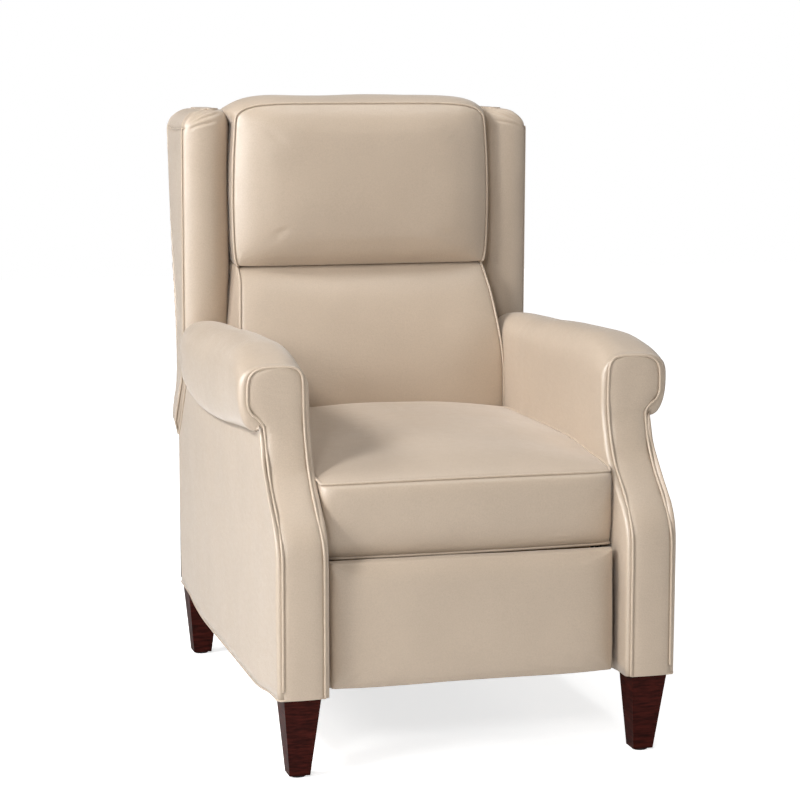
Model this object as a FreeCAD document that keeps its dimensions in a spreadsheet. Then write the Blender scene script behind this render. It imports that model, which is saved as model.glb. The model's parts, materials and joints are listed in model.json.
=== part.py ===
import FreeCAD, Part
import math
import os
import re
import Sketcher

# Wing-back recliner that opens when its back is pushed.
# Millimetres and degrees. +Z is up, the front faces -Y, the origin is on the floor
# below the middle of the chair. Every side piece is made once, on the +X side, and
# mirrored to the -X side.

SIZES = (
    ("front_y", -510, "front face of the arm posts"),
    ("rear_y", 510, "rearmost face of the back, near its top"),
    ("arm_inner_x", 256, "inner face of an arm"),
    ("arm_outer_x", 340, "outer face of an arm panel"),
    ("arm_rear_y", 425, "rear edge of an arm panel"),
    ("arm_face_y", -380, "front face of the arm roll, set back above the post"),
    ("hem_z", 139, "lower edge of an arm at the legs"),
    ("hem_sag", 12, "how far the lower edge bows down between the legs"),
    ("hem_flat_front", 75, "flat part of the lower edge over a front leg"),
    ("hem_flat_rear", 80, "flat part of the lower edge over a rear leg"),
    ("post_top_z", 350, "top of the upright part of the post"),
    ("post_bend", 90, "radius of the convex bend above the post"),
    ("neck_bend", 95, "radius of the hollow bend below the roll"),
    ("neck_slope", 45, "lean of the straight part between the bends"),
    ("arm_slab_top_z", 600, "top of the arm panel, inside the roll"),
    ("rear_turn_z", 427, "height where the rear edge starts to lean forwards"),
    ("rear_lean_z", 577, "height of the top of the leaning rear edge"),
    ("roll_rear_y", 291, "rear end of the arm roll"),
    ("roll_outer_x", 369, "outermost point of the roll"),
    ("roll_top_z", 693, "highest point of the roll"),
    ("roll_mid_z", 627, "height of the outermost point of the roll"),
    ("roll_under_z", 563, "underside of the roll"),
    ("roll_proud", 0.8, "how far the roll stands inside the arm's inner face"),
    ("board_inset", 27, "depth of the arm board behind the padding"),
    ("board_inner_x", 290, "inner face of the arm board"),
    ("board_thick", 18, "thickness of the arm board"),
    ("block_side", 66, "side of the wooden block over a leg"),
    ("block_height", 60, "height of the wooden block over a leg"),
    ("leg_x", 297.5, "middle of a leg from the middle of the chair"),
    ("leg_top_side", 62, "side of a leg at its top"),
    ("leg_foot_side", 34.6, "side of a leg at its foot"),
    ("front_leg_y", -471, "middle of a front leg's top"),
    ("rear_leg_y", 386, "middle of a rear leg's top"),
    ("leg_rake", 10, "how far the foot's middle lies behind the top's middle"),
    ("glide_radius", 13, "radius of a floor glide"),
    ("glide_height", 4, "height of a floor glide"),
    ("bolt_radius", 4, "radius of a leg bolt"),
    ("bolt_depth", 42, "length of a leg bolt on each side of the joint"),
    ("plate_thick", 3.5, "thickness of the fixed mechanism plate"),
    ("link_thick", 3, "thickness of a link"),
    ("link_gap", 2, "gap between two layers of links"),
    ("link_radius", 11, "half the width of a link"),
    ("pin_radius", 4, "radius of a pivot pin"),
    ("pin_play", 0.08, "running clearance round a pin"),
    ("pin_head", 7, "radius of a pin's head and shoulder"),
    ("pin_head_thick", 1.4, "thickness of a pin's head"),
    ("pin_slack", 0.3, "end clearance of a pin"),
    ("open_play", 3.5, "play of the bracket's upper pin in the control link's eye"),
    ("open_drop", 3.21, "how far that eye's middle lies below the pin at rest"),
    ("back_pivot_y", 315, "back pivot"),
    ("back_pivot_z", 352, "back pivot"),
    ("swing_pivot_y", -200, "upper pivot of the swing link"),
    ("swing_pivot_z", 330, "upper pivot of the swing link"),
    ("swing_length", 80, "length of the swing link and of the back's lower arm"),
    ("main_y", -325, "main link's pivot on the seat plate"),
    ("main_z", 300, "main link's pivot on the seat plate"),
    ("guide_dy", -72, "guide link's pivot, from the main link's"),
    ("guide_dz", 32, "guide link's pivot, from the main link's"),
    ("main_length", 240, "length of the main and guide links"),
    ("main_angle", -41.5, "direction of the main and guide links at rest"),
    ("rest_y", -395, "carrier link's pivot on the footrest bracket"),
    ("rest_z", 175, "carrier link's pivot on the footrest bracket"),
    ("crank_length", 27.553, "from the guide link's lower pivot to the control link's"),
    ("crank_angle", 156.846, "direction of that crank at rest"),
    ("bracket_length", 36, "from the bracket's lower pivot to its upper one"),
    ("bracket_angle", 134.346, "direction of the bracket's two pivots at rest"),
    ("tube_radius", 9, "radius of the torque tube"),
    ("tube_wall", 1.6, "wall of the torque tube"),
    ("tube_share", 0.62, "place of the torque tube along the main link"),
    ("cross_front_y", -60, "front cross tube"),
    ("cross_rear_y", 330, "rear cross tube"),
    ("cross_z", 170, "height of the cross tubes"),
    ("cross_depth", 24, "cross tubes, front to back"),
    ("cross_height", 30, "cross tubes, top to bottom"),
    ("cross_wall", 2, "wall of the cross tubes"),
    ("seat_top_z", 346, "top of the seat frame and of the seat plates"),
    ("seat_front_y", -415, "front of the seat frame"),
    ("seat_back_y", 160, "rear of the seat frame"),
    ("seat_outer_x", 222, "outer face of the seat frame"),
    ("seat_rail_thick", 27, "thickness of the seat frame's rails"),
    ("seat_rail_height", 46, "height of the seat frame's rails"),
    ("flange_inner_x", 200, "inner edge of the seat plate's flange"),
    ("cushion_x", 250, "half the width of the seat cushion"),
    ("cushion_front_y", -437, "front seams of the seat cushion"),
    ("cushion_rear_y", 172, "rear of the seat cushion"),
    ("cushion_edge_z", 477, "front top seam of the seat cushion"),
    ("cushion_crown_z", 523, "top of the seat cushion in the middle"),
    ("cushion_side_z", 505, "top of the seat cushion beside the arms"),
    ("cushion_bulge", 7, "crown of the cushion's front"),
    ("cushion_draw_in", 9, "how far the seat cushion's corners are drawn in"),
    ("soft_gap", 0.3, "clearance of a soft piece"),
    ("wing_inner_x", 251, "inner face of a wing"),
    ("wing_outer_x", 334, "outer face of a wing"),
    ("wing_front_y", 292.5, "front of a wing"),
    ("wing_top_z", 1068, "top of a wing"),
    ("wing_top_bend", 33, "radius of a wing's front top corner"),
    ("wing_rear_bend", 24, "radius of a wing's rear top corner"),
    ("wing_round", 30, "radius of a wing's front edges"),
    ("wing_cap_bend", 38, "radius of a wing's outer top edge"),
    ("wing_inner_bend", 16, "radius of a wing's inner top edge"),
    ("wing_gap", 6, "gap between the wing's foot and the arm, along y and z"),
    ("spacer_z", 700, "foot of the pad that seats a wing on its back post"),
    ("spacer_depth", 32, "depth of that pad"),
    ("spacer_height", 200, "height of that pad"),
    ("back_knee_y", 432, "rear of the back at its narrowest"),
    ("back_knee_z", 565, "height of that narrowest place"),
    ("back_tail_y", 487, "rear of the back's tail"),
    ("back_tail_z", 474, "top of the back's tail"),
    ("back_tail_low_z", 456, "lower end of the back's tail"),
    ("back_panel_thick", 13.5, "thickness of the outside back"),
    ("back_panel_drop", 25, "how far the outside back's top lies below the wings'"),
    ("post_foot_y", 334, "front of a back post at its foot"),
    ("post_foot_z", 425, "foot of a back post"),
    ("post_head_y", 424, "front of a back post at its head"),
    ("post_head_drop", 30, "how far the back posts' heads lie below the wings' top"),
    ("post_foot_depth", 62, "depth of a back post at its foot"),
    ("post_thick", 31, "thickness of a back post"),
    ("back_rail_height", 40, "height of the back's rails"),
    ("top_rail_depth", 56, "depth of the back's top rail"),
    ("middle_rail_z", 800, "top of the back's middle rail"),
    ("middle_rail_depth", 24, "depth of the back's middle rail"),
    ("bottom_rail_z", 482, "top of the back's bottom rail"),
    ("bottom_rail_depth", 38, "depth of the back's bottom rail"),
    ("bracket_high_y", 351, "upper end of the back bracket"),
    ("bracket_high_z", 520, "upper end of the back bracket"),
    ("bracket_radius", 14, "half the width of the back bracket"),
    ("pillow_x", 245, "half the width of the head pillow"),
    ("pillow_seam_y", 270, "front seams of the head pillow"),
    ("pillow_low_z", 785, "lower seam of the head pillow"),
    ("pillow_seam_drop", 3, "how far the pillow's top seam lies below the wings' top"),
    ("pillow_rise", 32, "how far the head pillow stands above the wings"),
    ("pillow_crown", 34, "crown of the head pillow"),
    ("pillow_rear_y", 482, "rear end of the head pillow"),
    ("pillow_draw_in", 10, "how far the corners of the back's pads are drawn in"),
    ("lumbar_top_y", 263, "front of the lower back pad at its top seam"),
    ("lumbar_top_z", 777, "top seam of the lower back pad"),
    ("lumbar_mid_y", 182, "front of the lower back pad at the seat"),
    ("lumbar_mid_z", 584, "height where the lower back pad turns upright"),
    ("lumbar_low_z", 405, "lower end of the lower back pad"),
    ("lumbar_x", 251, "half the width of the lower back pad"),
    ("lumbar_crown", 16, "crown of the lower back pad"),
    ("rest_x", 246, "half the width of the footrest pad"),
    ("rest_front_y", -480, "front seams of the footrest pad"),
    ("rest_low_z", 145, "lower seam of the footrest pad"),
    ("rest_top_z", 347, "upper seam of the footrest pad"),
    ("rest_crown", 7, "crown of the footrest pad"),
    ("rest_draw_in", 5, "how far the footrest pad's corners are drawn in"),
    ("rest_pad_thick", 30, "thickness of the footrest pad at its seams"),
    ("rest_board_thick", 16, "thickness of the footrest board"),
    ("rest_board_x", 240.5, "half the width of the footrest board"),
    ("rest_board_inset", 6, "how far the board stays inside the pad's seams"),
    ("angle_width", 40, "width of the footrest bracket's flange"),
    ("rear_cover_thick", 4, "thickness of the dark rear cover"),
    ("rear_cover_top_z", 370, "top of that cover between the arms, below the reclining back"),
)

os.makedirs("parts", exist_ok=True)
document = FreeCAD.newDocument("recliner")
sheet = document.addObject("Spreadsheet::Sheet", "sizes")
for row, (alias, value, meaning) in enumerate(SIZES, start=1):
    sheet.set("A%d" % row, alias)
    sheet.set("B%d" % row, str(value))
    sheet.set("C%d" % row, meaning)
    sheet.setAlias("B%d" % row, alias)
document.recompute()

ALIASES = {alias for alias, value, meaning in SIZES}
NODES = []


def formula(text):
    """The text with each size's name pointed at the sheet."""
    def point(match):
        word = match.group(0)
        return "sizes." + word if word in ALIASES else word
    return re.sub(r"[a-z_]+[a-z0-9_]*", point, str(text))


def number(text):
    result = sheet.evalExpression(formula(text))
    return float(getattr(result, "Value", result))


def bind(item, prop, text):
    item.setExpression(prop, formula(text))


def node(item, name):
    item.Label = name
    NODES.append(item)
    return item


def mirrored(item, name):
    """The same piece on the -X side."""
    twin = document.addObject("Part::Mirroring", name)
    twin.Source = item
    twin.Normal = (1, 0, 0)
    return node(twin, name)


def both_sides(item, name):
    node(item, "right_" + name)
    return mirrored(item, "left_" + name)


# Points that several pieces share, as (y, z) pairs of formulas

def toward(start, length, angle):
    return ("%s + (%s) * cos((%s) * 1 deg)" % (start[0], length, angle),
            "%s + (%s) * sin((%s) * 1 deg)" % (start[1], length, angle))


MAIN = ("main_y", "main_z")
GUIDE = ("main_y + guide_dy", "main_z + guide_dz")
MAIN_LOW = toward(MAIN, "main_length", "main_angle")
GUIDE_LOW = toward(GUIDE, "main_length", "main_angle")
REST_LOW = ("rest_y", "rest_z")
REST_HIGH = toward(REST_LOW, "bracket_length", "bracket_angle")
CRANK = toward(GUIDE_LOW, "crank_length", "crank_angle")
BACK = ("back_pivot_y", "back_pivot_z")
BACK_LOW = ("back_pivot_y", "back_pivot_z - swing_length")
SWING = ("swing_pivot_y", "swing_pivot_z")
SWING_LOW = ("swing_pivot_y", "swing_pivot_z - swing_length")

# Layers of flat links beside the seat, counted inwards from the fixed plate

def layer_outer(index):
    pitch = "(link_thick + link_gap)"
    return "arm_inner_x - plate_thick - link_gap - %d * %s" % (index, pitch)


def layer_inner(index):
    return layer_outer(index) + " - link_thick"


# Sketches and pads

AXIS_PLANE = {"x": "YZ_Plane", "y": "XZ_Plane", "z": "XY_Plane"}


def origin_plane(body, axis):
    for feature in body.Origin.OriginFeatures:
        if feature.Role == AXIS_PLANE[axis]:
            return feature
    raise ValueError("no plane for " + axis)


def new_sketch(body, axis, level):
    sketch = body.newObject("Sketcher::SketchObject", "Sketch")
    sketch.AttachmentSupport = [(origin_plane(body, axis), "")]
    sketch.MapMode = "FlatFace"
    if axis == "y":
        bind(sketch, "AttachmentOffset.Base.z", "-(%s)" % level)
    else:
        bind(sketch, "AttachmentOffset.Base.z", level)
    return sketch


def pin_point(sketch, geometry, position, place):
    for kind, text in zip(("DistanceX", "DistanceY"), place):
        value = number(text)
        index = sketch.addConstraint(Sketcher.Constraint(kind, -1, 1, geometry, position, value))
        bind(sketch, "Constraints[%d]" % index, text)


def set_radius(sketch, geometry, text):
    index = sketch.addConstraint(Sketcher.Constraint("Radius", geometry, number(text)))
    bind(sketch, "Constraints[%d]" % index, text)


def arc_between(start, end, radius, side):
    """Arc from start to end, with its centre on the left (1) or the right (-1)."""
    chord = end - start
    half = chord.Length / 2
    left = FreeCAD.Vector(-chord.y, chord.x, 0).normalize()
    centre = (start + end) * 0.5 + left * side * math.sqrt(max(radius * radius - half * half, 0))
    circle = Part.Circle(centre, FreeCAD.Vector(0, 0, 1), radius)
    first, last = (start, end) if side > 0 else (end, start)
    angles = [math.atan2(p.y - centre.y, p.x - centre.x) for p in (first, last)]
    if angles[1] <= angles[0]:
        angles[1] += 2 * math.pi
    return Part.ArcOfCircle(circle, angles[0], angles[1])


def draw_outline(sketch, corners):
    """Closed outline of (u, v) corners. A corner (u, v, radius, side) starts an arc."""
    places = [FreeCAD.Vector(number(c[0]), number(c[1]), 0) for c in corners]
    ends = []
    for i, corner in enumerate(corners):
        start, end = places[i], places[(i + 1) % len(places)]
        if len(corner) == 4:
            shape = arc_between(start, end, number(corner[2]), corner[3])
            geometry = sketch.addGeometry(shape, False)
            ends.append((geometry, 1, 2) if corner[3] > 0 else (geometry, 2, 1))
        else:
            geometry = sketch.addGeometry(Part.LineSegment(start, end), False)
            ends.append((geometry, 1, 2))
    for i, (geometry, first, last) in enumerate(ends):
        following, next_first, next_last = ends[(i + 1) % len(ends)]
        sketch.addConstraint(Sketcher.Constraint("Coincident", geometry, last, following, next_first))
        pin_point(sketch, geometry, first, corners[i][:2])
        if len(corners[i]) == 4:
            set_radius(sketch, geometry, corners[i][2])


def draw_hull(sketch, centres, radius):
    """Outline round equal circles, listed anticlockwise."""
    size = number(radius)
    places = [FreeCAD.Vector(number(c[0]), number(c[1]), 0) for c in centres]
    count = len(places)
    lines, arcs, normals = [], [], []
    for i in range(count):
        run = (places[(i + 1) % count] - places[i]).normalize()
        normals.append(FreeCAD.Vector(run.y, -run.x, 0))
    for i in range(count):
        before, after = normals[i - 1], normals[i]
        circle = Part.Circle(places[i], FreeCAD.Vector(0, 0, 1), size)
        first = math.atan2(before.y, before.x)
        last = math.atan2(after.y, after.x)
        if last <= first:
            last += 2 * math.pi
        arcs.append(sketch.addGeometry(Part.ArcOfCircle(circle, first, last), False))
        line = Part.LineSegment(places[i] + after * size, places[(i + 1) % count] + after * size)
        lines.append(sketch.addGeometry(line, False))
    for i in range(count):
        pin_point(sketch, arcs[i], 3, centres[i])
        set_radius(sketch, arcs[i], radius)
        sketch.addConstraint(Sketcher.Constraint("Tangent", arcs[i], 2, lines[i], 1))
        sketch.addConstraint(Sketcher.Constraint("Tangent", lines[i], 2, arcs[(i + 1) % count], 1))


def draw_circle(sketch, centre, radius):
    place = FreeCAD.Vector(number(centre[0]), number(centre[1]), 0)
    circle = Part.Circle(place, FreeCAD.Vector(0, 0, 1), number(radius))
    geometry = sketch.addGeometry(circle, False)
    pin_point(sketch, geometry, 3, centre)
    set_radius(sketch, geometry, radius)


def new_body(name):
    return document.addObject("PartDesign::Body", name)


def pad(body, sketch, length):
    feature = body.newObject("PartDesign::Pad", "Pad")
    feature.Profile = sketch
    bind(feature, "Length", length)
    body.Tip = feature
    return feature


def pad_outline(body, axis, low, high, corners):
    """Pad between two levels of an axis, along that axis."""
    if axis == "y":
        sketch = new_sketch(body, axis, high)
    else:
        sketch = new_sketch(body, axis, low)
    draw_outline(sketch, corners)
    return pad(body, sketch, "(%s) - (%s)" % (high, low))


def rectangle(low_u, high_u, low_v, high_v):
    return [(low_u, low_v), (high_u, low_v), (high_u, high_v), (low_u, high_v)]


def link(name, layer, centres, holes, radius="link_radius"):
    """Flat link in one layer, with a hole at each (place, radius) of holes."""
    body = new_body(name)
    sketch = new_sketch(body, "x", layer_inner(layer))
    draw_hull(sketch, centres, radius)
    for place, hole in holes:
        draw_circle(sketch, place, hole)
    pad(body, sketch, "link_thick")
    return body


TIGHT = "pin_radius"
FREE = "pin_radius + pin_play"


# Arms

SLOPE_COS = "cos(neck_slope * 1 deg)"
SLOPE_SIN = "sin(neck_slope * 1 deg)"


def arm_curve(inset):
    """Front edge of an arm from the post up to the roll, inset from the leather."""
    bend = "(post_bend - %s)" % inset
    hollow = "(neck_bend + %s)" % inset
    low = ("front_y + post_bend - %s * %s" % (bend, SLOPE_COS),
           "post_top_z + %s * %s" % (bend, SLOPE_SIN))
    run_y = "(arm_face_y - neck_bend * (1 - %s) - front_y - post_bend * (1 - %s))" % (SLOPE_COS, SLOPE_COS)
    centre_z = "post_top_z + (post_bend + neck_bend) * %s + %s / tan(neck_slope * 1 deg)" % (SLOPE_SIN, run_y)
    high = ("arm_face_y - neck_bend + %s * %s" % (hollow, SLOPE_COS),
            "%s - %s * %s" % (centre_z, hollow, SLOPE_SIN))
    return [("front_y + %s" % inset, "post_top_z", bend, -1),
            low,
            high + (hollow, 1),
            ("arm_face_y + %s" % inset, centre_z)]


def arm_panel():
    body = new_body("ArmPanel")
    hem_chord = "((arm_rear_y - hem_flat_rear) - (front_y + hem_flat_front))"
    hem_radius = "%s ^ 2 / (8 * hem_sag) + hem_sag / 2" % hem_chord
    corners = [("front_y", "hem_z")] + arm_curve("0") + [
        ("arm_face_y", "arm_slab_top_z"),
        ("roll_rear_y - 2", "arm_slab_top_z"),
        ("roll_rear_y - 2", "rear_lean_z"),
        ("arm_rear_y", "rear_turn_z"),
        ("arm_rear_y", "hem_z"),
        ("arm_rear_y - hem_flat_rear", "hem_z", hem_radius, -1),
        ("front_y + hem_flat_front", "hem_z")]
    pad_outline(body, "x", "arm_inner_x", "arm_outer_x", corners)
    return body


def quarter(low, high, centre_u, centre_v):
    """Middle point of a quarter of an ellipse between two points."""
    u = centre_u + (low[0] + high[0] - 2 * centre_u) * math.sqrt(0.5)
    v = centre_v + (low[1] + high[1] - 2 * centre_v) * math.sqrt(0.5)
    return (u, v)


def roll_wire(y, inner, outer, top, middle, under):
    """Cross-section of the arm roll at one y."""
    crest = inner + 0.42 * (outer - inner)
    inner_turn = (inner, middle + 8)
    summit = (crest, top)
    side = (outer, middle)
    below = (number("arm_outer_x") - 3, under)
    root_z = under - 16
    corners = [(inner, root_z), inner_turn, summit, side, below, (below[0] - 12, root_z)]
    middles = {1: quarter(inner_turn, summit, crest, inner_turn[1]),
               2: quarter(summit, side, crest, middle),
               3: quarter(side, below, below[0], middle)}
    def place(point):
        return FreeCAD.Vector(point[0], y, point[1])
    edges = []
    for i, corner in enumerate(corners):
        following = corners[(i + 1) % len(corners)]
        if i in middles:
            edges.append(Part.Arc(place(corner), place(middles[i]), place(following)).toShape())
        else:
            edges.append(Part.LineSegment(place(corner), place(following)).toShape())
    return Part.Wire(edges)


def arm_roll():
    inner = number("arm_inner_x - roll_proud")
    outer = number("roll_outer_x")
    top = number("roll_top_z")
    middle = number("roll_mid_z")
    under = number("roll_under_z")
    face = number("arm_face_y")
    rear = number("roll_rear_y")
    span = rear - face
    face_wire = roll_wire(face, inner + 11, outer - 13, top - 38, middle - 7, under + 8)
    front_wire = roll_wire(face + 13, inner, outer - 1, top - 21, middle - 5, under + 3)
    wires = [
        front_wire,
        roll_wire(face + 0.24 * span, inner, outer, top, middle, under),
        roll_wire(face + 0.60 * span, inner, outer, top - 7, middle - 3, under),
        roll_wire(face + 0.89 * span, inner, outer - 4, top - 18, middle - 9, under - 3),
        roll_wire(rear, inner, outer - 14, top - 26, middle - 15, under - 7)]
    lip = document.addObject("Part::Feature", "ArmRollLip")
    lip.Shape = Part.makeLoft([face_wire, front_wire], True, True)
    roll = document.addObject("Part::Feature", "ArmRollLength")
    roll.Shape = Part.makeLoft(wires, True, False)
    return [lip, roll]


def leg_middles():
    return (("front", "front_leg_y"), ("rear", "rear_leg_y"))


def arm_board():
    """Wooden board and leg blocks inside an arm."""
    body = new_body("ArmBoard")
    corners = [("front_y + board_inset", "hem_z")] + arm_curve("board_inset") + [
        ("arm_face_y + board_inset", "arm_slab_top_z + board_inset"),
        ("roll_rear_y - 2 - board_inset", "arm_slab_top_z + board_inset"),
        ("roll_rear_y - 2 - board_inset", "rear_lean_z - board_inset"),
        ("arm_rear_y - board_inset", "rear_turn_z - board_inset"),
        ("arm_rear_y - board_inset", "hem_z + 20"),
        ("front_y + hem_flat_front + board_inset", "hem_z + 20"),
        ("front_y + hem_flat_front + board_inset", "hem_z")]
    pad_outline(body, "x", "board_inner_x", "board_inner_x + board_thick", corners)
    for name, middle_y in leg_middles():
        half = "block_side / 2"
        pad_outline(body, "z", "hem_z", "hem_z + block_height", rectangle(
            "leg_x - %s" % half, "leg_x + %s" % half,
            "%s - %s + 4" % (middle_y, half), "%s + %s - 4" % (middle_y, half)))
    return body


def upright_cylinder(name, x, y, low, high, radius):
    item = document.addObject("Part::Cylinder", name)
    bind(item, "Radius", radius)
    bind(item, "Height", "(%s) - (%s)" % (high, low))
    bind(item, "Placement.Base.x", x)
    bind(item, "Placement.Base.y", y)
    bind(item, "Placement.Base.z", low)
    return item


def make_arms():
    solid_board = arm_board()
    shell = document.addObject("Part::MultiFuse", "ArmOuter")
    shell.Shapes = [arm_panel()] + arm_roll()
    arm = document.addObject("Part::Cut", "Arm")
    arm.Base = shell
    arm.Tool = solid_board
    both_sides(arm, "arm")
    bores = document.addObject("Part::Compound", "BoltBores")
    bores.Links = [upright_cylinder("Bore", "leg_x", middle_y, "hem_z", "hem_z + bolt_depth", "bolt_radius")
                   for name, middle_y in leg_middles()]
    board = document.addObject("Part::Cut", "BoredBoard")
    board.Base = solid_board
    board.Tool = bores
    both_sides(board, "arm_board")


# Legs

def leg(place, middle_y):
    body = new_body("Leg")
    levels = (("glide_height", "leg_foot_side / 2", "%s + leg_rake" % middle_y),
              ("hem_z", "leg_top_side / 2", middle_y))
    sketches = []
    for level, half, centre in levels:
        sketch = new_sketch(body, "z", level)
        draw_outline(sketch, rectangle("leg_x - %s" % half, "leg_x + %s" % half,
                                       "%s - %s" % (centre, half), "%s + %s" % (centre, half)))
        sketches.append(sketch)
    document.recompute()
    loft = body.newObject("PartDesign::AdditiveLoft", "Taper")
    loft.Profile = sketches[0]
    loft.Sections = [sketches[1]]
    loft.Ruled = True
    body.Tip = loft
    document.recompute()
    sketch = new_sketch(body, "z", "hem_z")
    draw_circle(sketch, ("leg_x", middle_y), "bolt_radius")
    pocket = body.newObject("PartDesign::Pocket", "BoltHole")
    pocket.Profile = sketch
    bind(pocket, "Length", "bolt_depth")
    body.Tip = pocket
    both_sides(body, place + "_leg")


def group(name, items):
    compound = document.addObject("Part::Compound", name)
    compound.Links = items
    return node(compound, name)


def make_legs():
    glides, bolts = [], []
    for place, middle_y in leg_middles():
        leg(place, middle_y)
        for x in ("leg_x", "-leg_x"):
            foot_y = "%s + leg_rake" % middle_y
            glides.append(upright_cylinder("Glide", x, foot_y, "0", "glide_height", "glide_radius"))
            bolts.append(upright_cylinder("Bolt", x, middle_y, "hem_z - bolt_depth",
                                          "hem_z + bolt_depth", "bolt_radius"))
    group("floor_glides", glides)
    group("leg_bolts", bolts)


# Fixed plates, cross tubes and rear cover

def make_base_steel():
    plate = new_body("BasePlate")
    sketch = new_sketch(plate, "x", "arm_inner_x - plate_thick")
    draw_hull(sketch, [SWING, ("cross_front_y", "cross_z"), ("cross_rear_y", "cross_z"), BACK],
              "link_radius + 1")
    for place in (SWING, BACK):
        draw_circle(sketch, place, TIGHT)
    pad(plate, sketch, "plate_thick")
    both_sides(plate, "base_plate")
    for name, y in (("front_cross_tube", "cross_front_y"), ("rear_cross_tube", "cross_rear_y")):
        tube = new_body("CrossTube")
        sketch = new_sketch(tube, "x", "-(arm_inner_x - plate_thick)")
        for inset in ("0", "cross_wall"):
            half_y = "(cross_depth / 2 - %s)" % inset
            half_z = "(cross_height / 2 - %s)" % inset
            draw_outline(sketch, rectangle("%s - %s" % (y, half_y), "%s + %s" % (y, half_y),
                                           "cross_z - %s" % half_z, "cross_z + %s" % half_z))
        pad(tube, sketch, "2 * (arm_inner_x - plate_thick)")
        node(tube, name)
    strips = (("rear_cover", "-wing_outer_x", "hem_z + 6", "rear_cover_top_z"),
              ("rear_strip", "arm_inner_x + 2", "rear_cover_top_z", "rear_turn_z - 3"))
    for name, low_x, low_z, high_z in strips:
        cover = document.addObject("Part::Box", "RearCover")
        bind(cover, "Length", "wing_outer_x - (%s)" % low_x)
        bind(cover, "Width", "rear_cover_thick")
        bind(cover, "Height", "%s - (%s)" % (high_z, low_z))
        bind(cover, "Placement.Base.x", low_x)
        bind(cover, "Placement.Base.y", "arm_rear_y")
        bind(cover, "Placement.Base.z", low_z)
        if name == "rear_cover":
            node(cover, name)
        else:
            both_sides(cover, name)


# Pivot pins

def pin_disc(place, low, high, radius):
    item = document.addObject("Part::Cylinder", "PinDisc")
    bind(item, "Radius", radius)
    bind(item, "Height", "(%s) - (%s)" % (high, low))
    item.Placement = FreeCAD.Placement(FreeCAD.Vector(0, 0, 0),
                                       FreeCAD.Rotation(FreeCAD.Vector(0, 1, 0), 90))
    bind(item, "Placement.Base.x", low)
    bind(item, "Placement.Base.y", place[0])
    bind(item, "Placement.Base.z", place[1])
    return item


def pin(place, near, far, head="pin_head"):
    """Pin held in the plate between the near levels, which carries the far one.

    near and far are (low, high) along x. The pin has a shoulder between the plates
    and a head beyond the far one.
    """
    inward = number(far[1]) < number(near[0])
    if inward:
        tip = "%s - pin_slack" % far[0]
        pieces = [(tip, near[1], "pin_radius"),
                  ("%s + pin_slack" % far[1], near[0], head),
                  ("%s - pin_head_thick" % tip, tip, head)]
    else:
        tip = "%s + pin_slack" % far[1]
        pieces = [(near[0], tip, "pin_radius"),
                  (near[1], "%s - pin_slack" % far[0], head),
                  (tip, "%s + pin_head_thick" % tip, head)]
    fuse = document.addObject("Part::MultiFuse", "Pin")
    fuse.Shapes = [pin_disc(place, low, high, radius) for low, high, radius in pieces]
    return fuse


def layer(index):
    return (layer_inner(index), layer_outer(index))


BASE_LAYER = ("arm_inner_x - plate_thick", "arm_inner_x")


def pin_group(name, pins):
    twins = []
    for item in pins:
        twin = document.addObject("Part::Mirroring", "PinTwin")
        twin.Source = item
        twin.Normal = (1, 0, 0)
        twins.append(twin)
    group(name, pins + twins)


def make_pins():
    pin_group("base_pins", [pin(SWING, BASE_LAYER, layer(0)), pin(BACK, BASE_LAYER, layer(0))])
    pin_group("seat_pins", [pin(SWING_LOW, layer(1), layer(0)), pin(BACK_LOW, layer(1), layer(0)),
                            pin(MAIN, layer(1), layer(4)), pin(GUIDE, layer(1), layer(2))])
    pin_group("main_link_pins", [pin(MAIN_LOW, layer(4), layer(3))])
    pin_group("guide_link_pins", [pin(GUIDE_LOW, layer(2), layer(3)), pin(CRANK, layer(2), layer(1))])
    pin_group("footrest_pins", [pin(REST_LOW, layer(2), layer(3)),
                                pin(REST_HIGH, layer(2), layer(1), "pin_head + open_play")])


# Links, seat plates and brackets

def make_links():
    swing = link("SwingLink", 0, [SWING, SWING_LOW], [(SWING, FREE), (SWING_LOW, FREE)])
    both_sides(swing, "swing_link")
    main = link("MainLink", 4, [MAIN, MAIN_LOW], [(MAIN, FREE), (MAIN_LOW, TIGHT)])
    both_sides(main, "main_link")
    guide = link("GuideLink", 2, [GUIDE, CRANK, GUIDE_LOW],
                 [(GUIDE, FREE), (GUIDE_LOW, TIGHT), (CRANK, TIGHT)])
    both_sides(guide, "guide_link")
    carrier = link("CarrierLink", 3, [MAIN_LOW, GUIDE_LOW, REST_LOW],
                   [(MAIN_LOW, FREE), (GUIDE_LOW, FREE), (REST_LOW, FREE)])
    both_sides(carrier, "carrier_link")
    eye = (REST_HIGH[0], REST_HIGH[1] + " - open_drop")
    control = link("ControlLink", 1, [CRANK, eye], [(CRANK, FREE), (eye, "pin_radius + open_play")])
    both_sides(control, "control_link")
    tube = new_body("TorqueTube")
    sketch = new_sketch(tube, "x", "-(%s)" % layer_inner(4))
    middle = toward(MAIN, "main_length * tube_share", "main_angle")
    draw_circle(sketch, middle, "tube_radius")
    draw_circle(sketch, middle, "tube_radius - tube_wall")
    pad(tube, sketch, "2 * (%s)" % layer_inner(4))
    node(tube, "torque_tube")


def make_seat_plates():
    plate = new_body("SeatPlate")
    sketch = new_sketch(plate, "x", layer_inner(1))
    top = "seat_top_z - link_radius"
    draw_hull(sketch, [(GUIDE[0], top), MAIN, SWING_LOW, BACK_LOW, (BACK_LOW[0], top)], "link_radius")
    for place in (GUIDE, MAIN, SWING_LOW, BACK_LOW):
        draw_circle(sketch, place, TIGHT)
    pad(plate, sketch, "link_thick")
    pad_outline(plate, "z", "seat_top_z", "seat_top_z + link_thick",
                rectangle("flange_inner_x", layer_outer(1), GUIDE[0], "seat_back_y"))
    both_sides(plate, "seat_plate")


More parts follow.
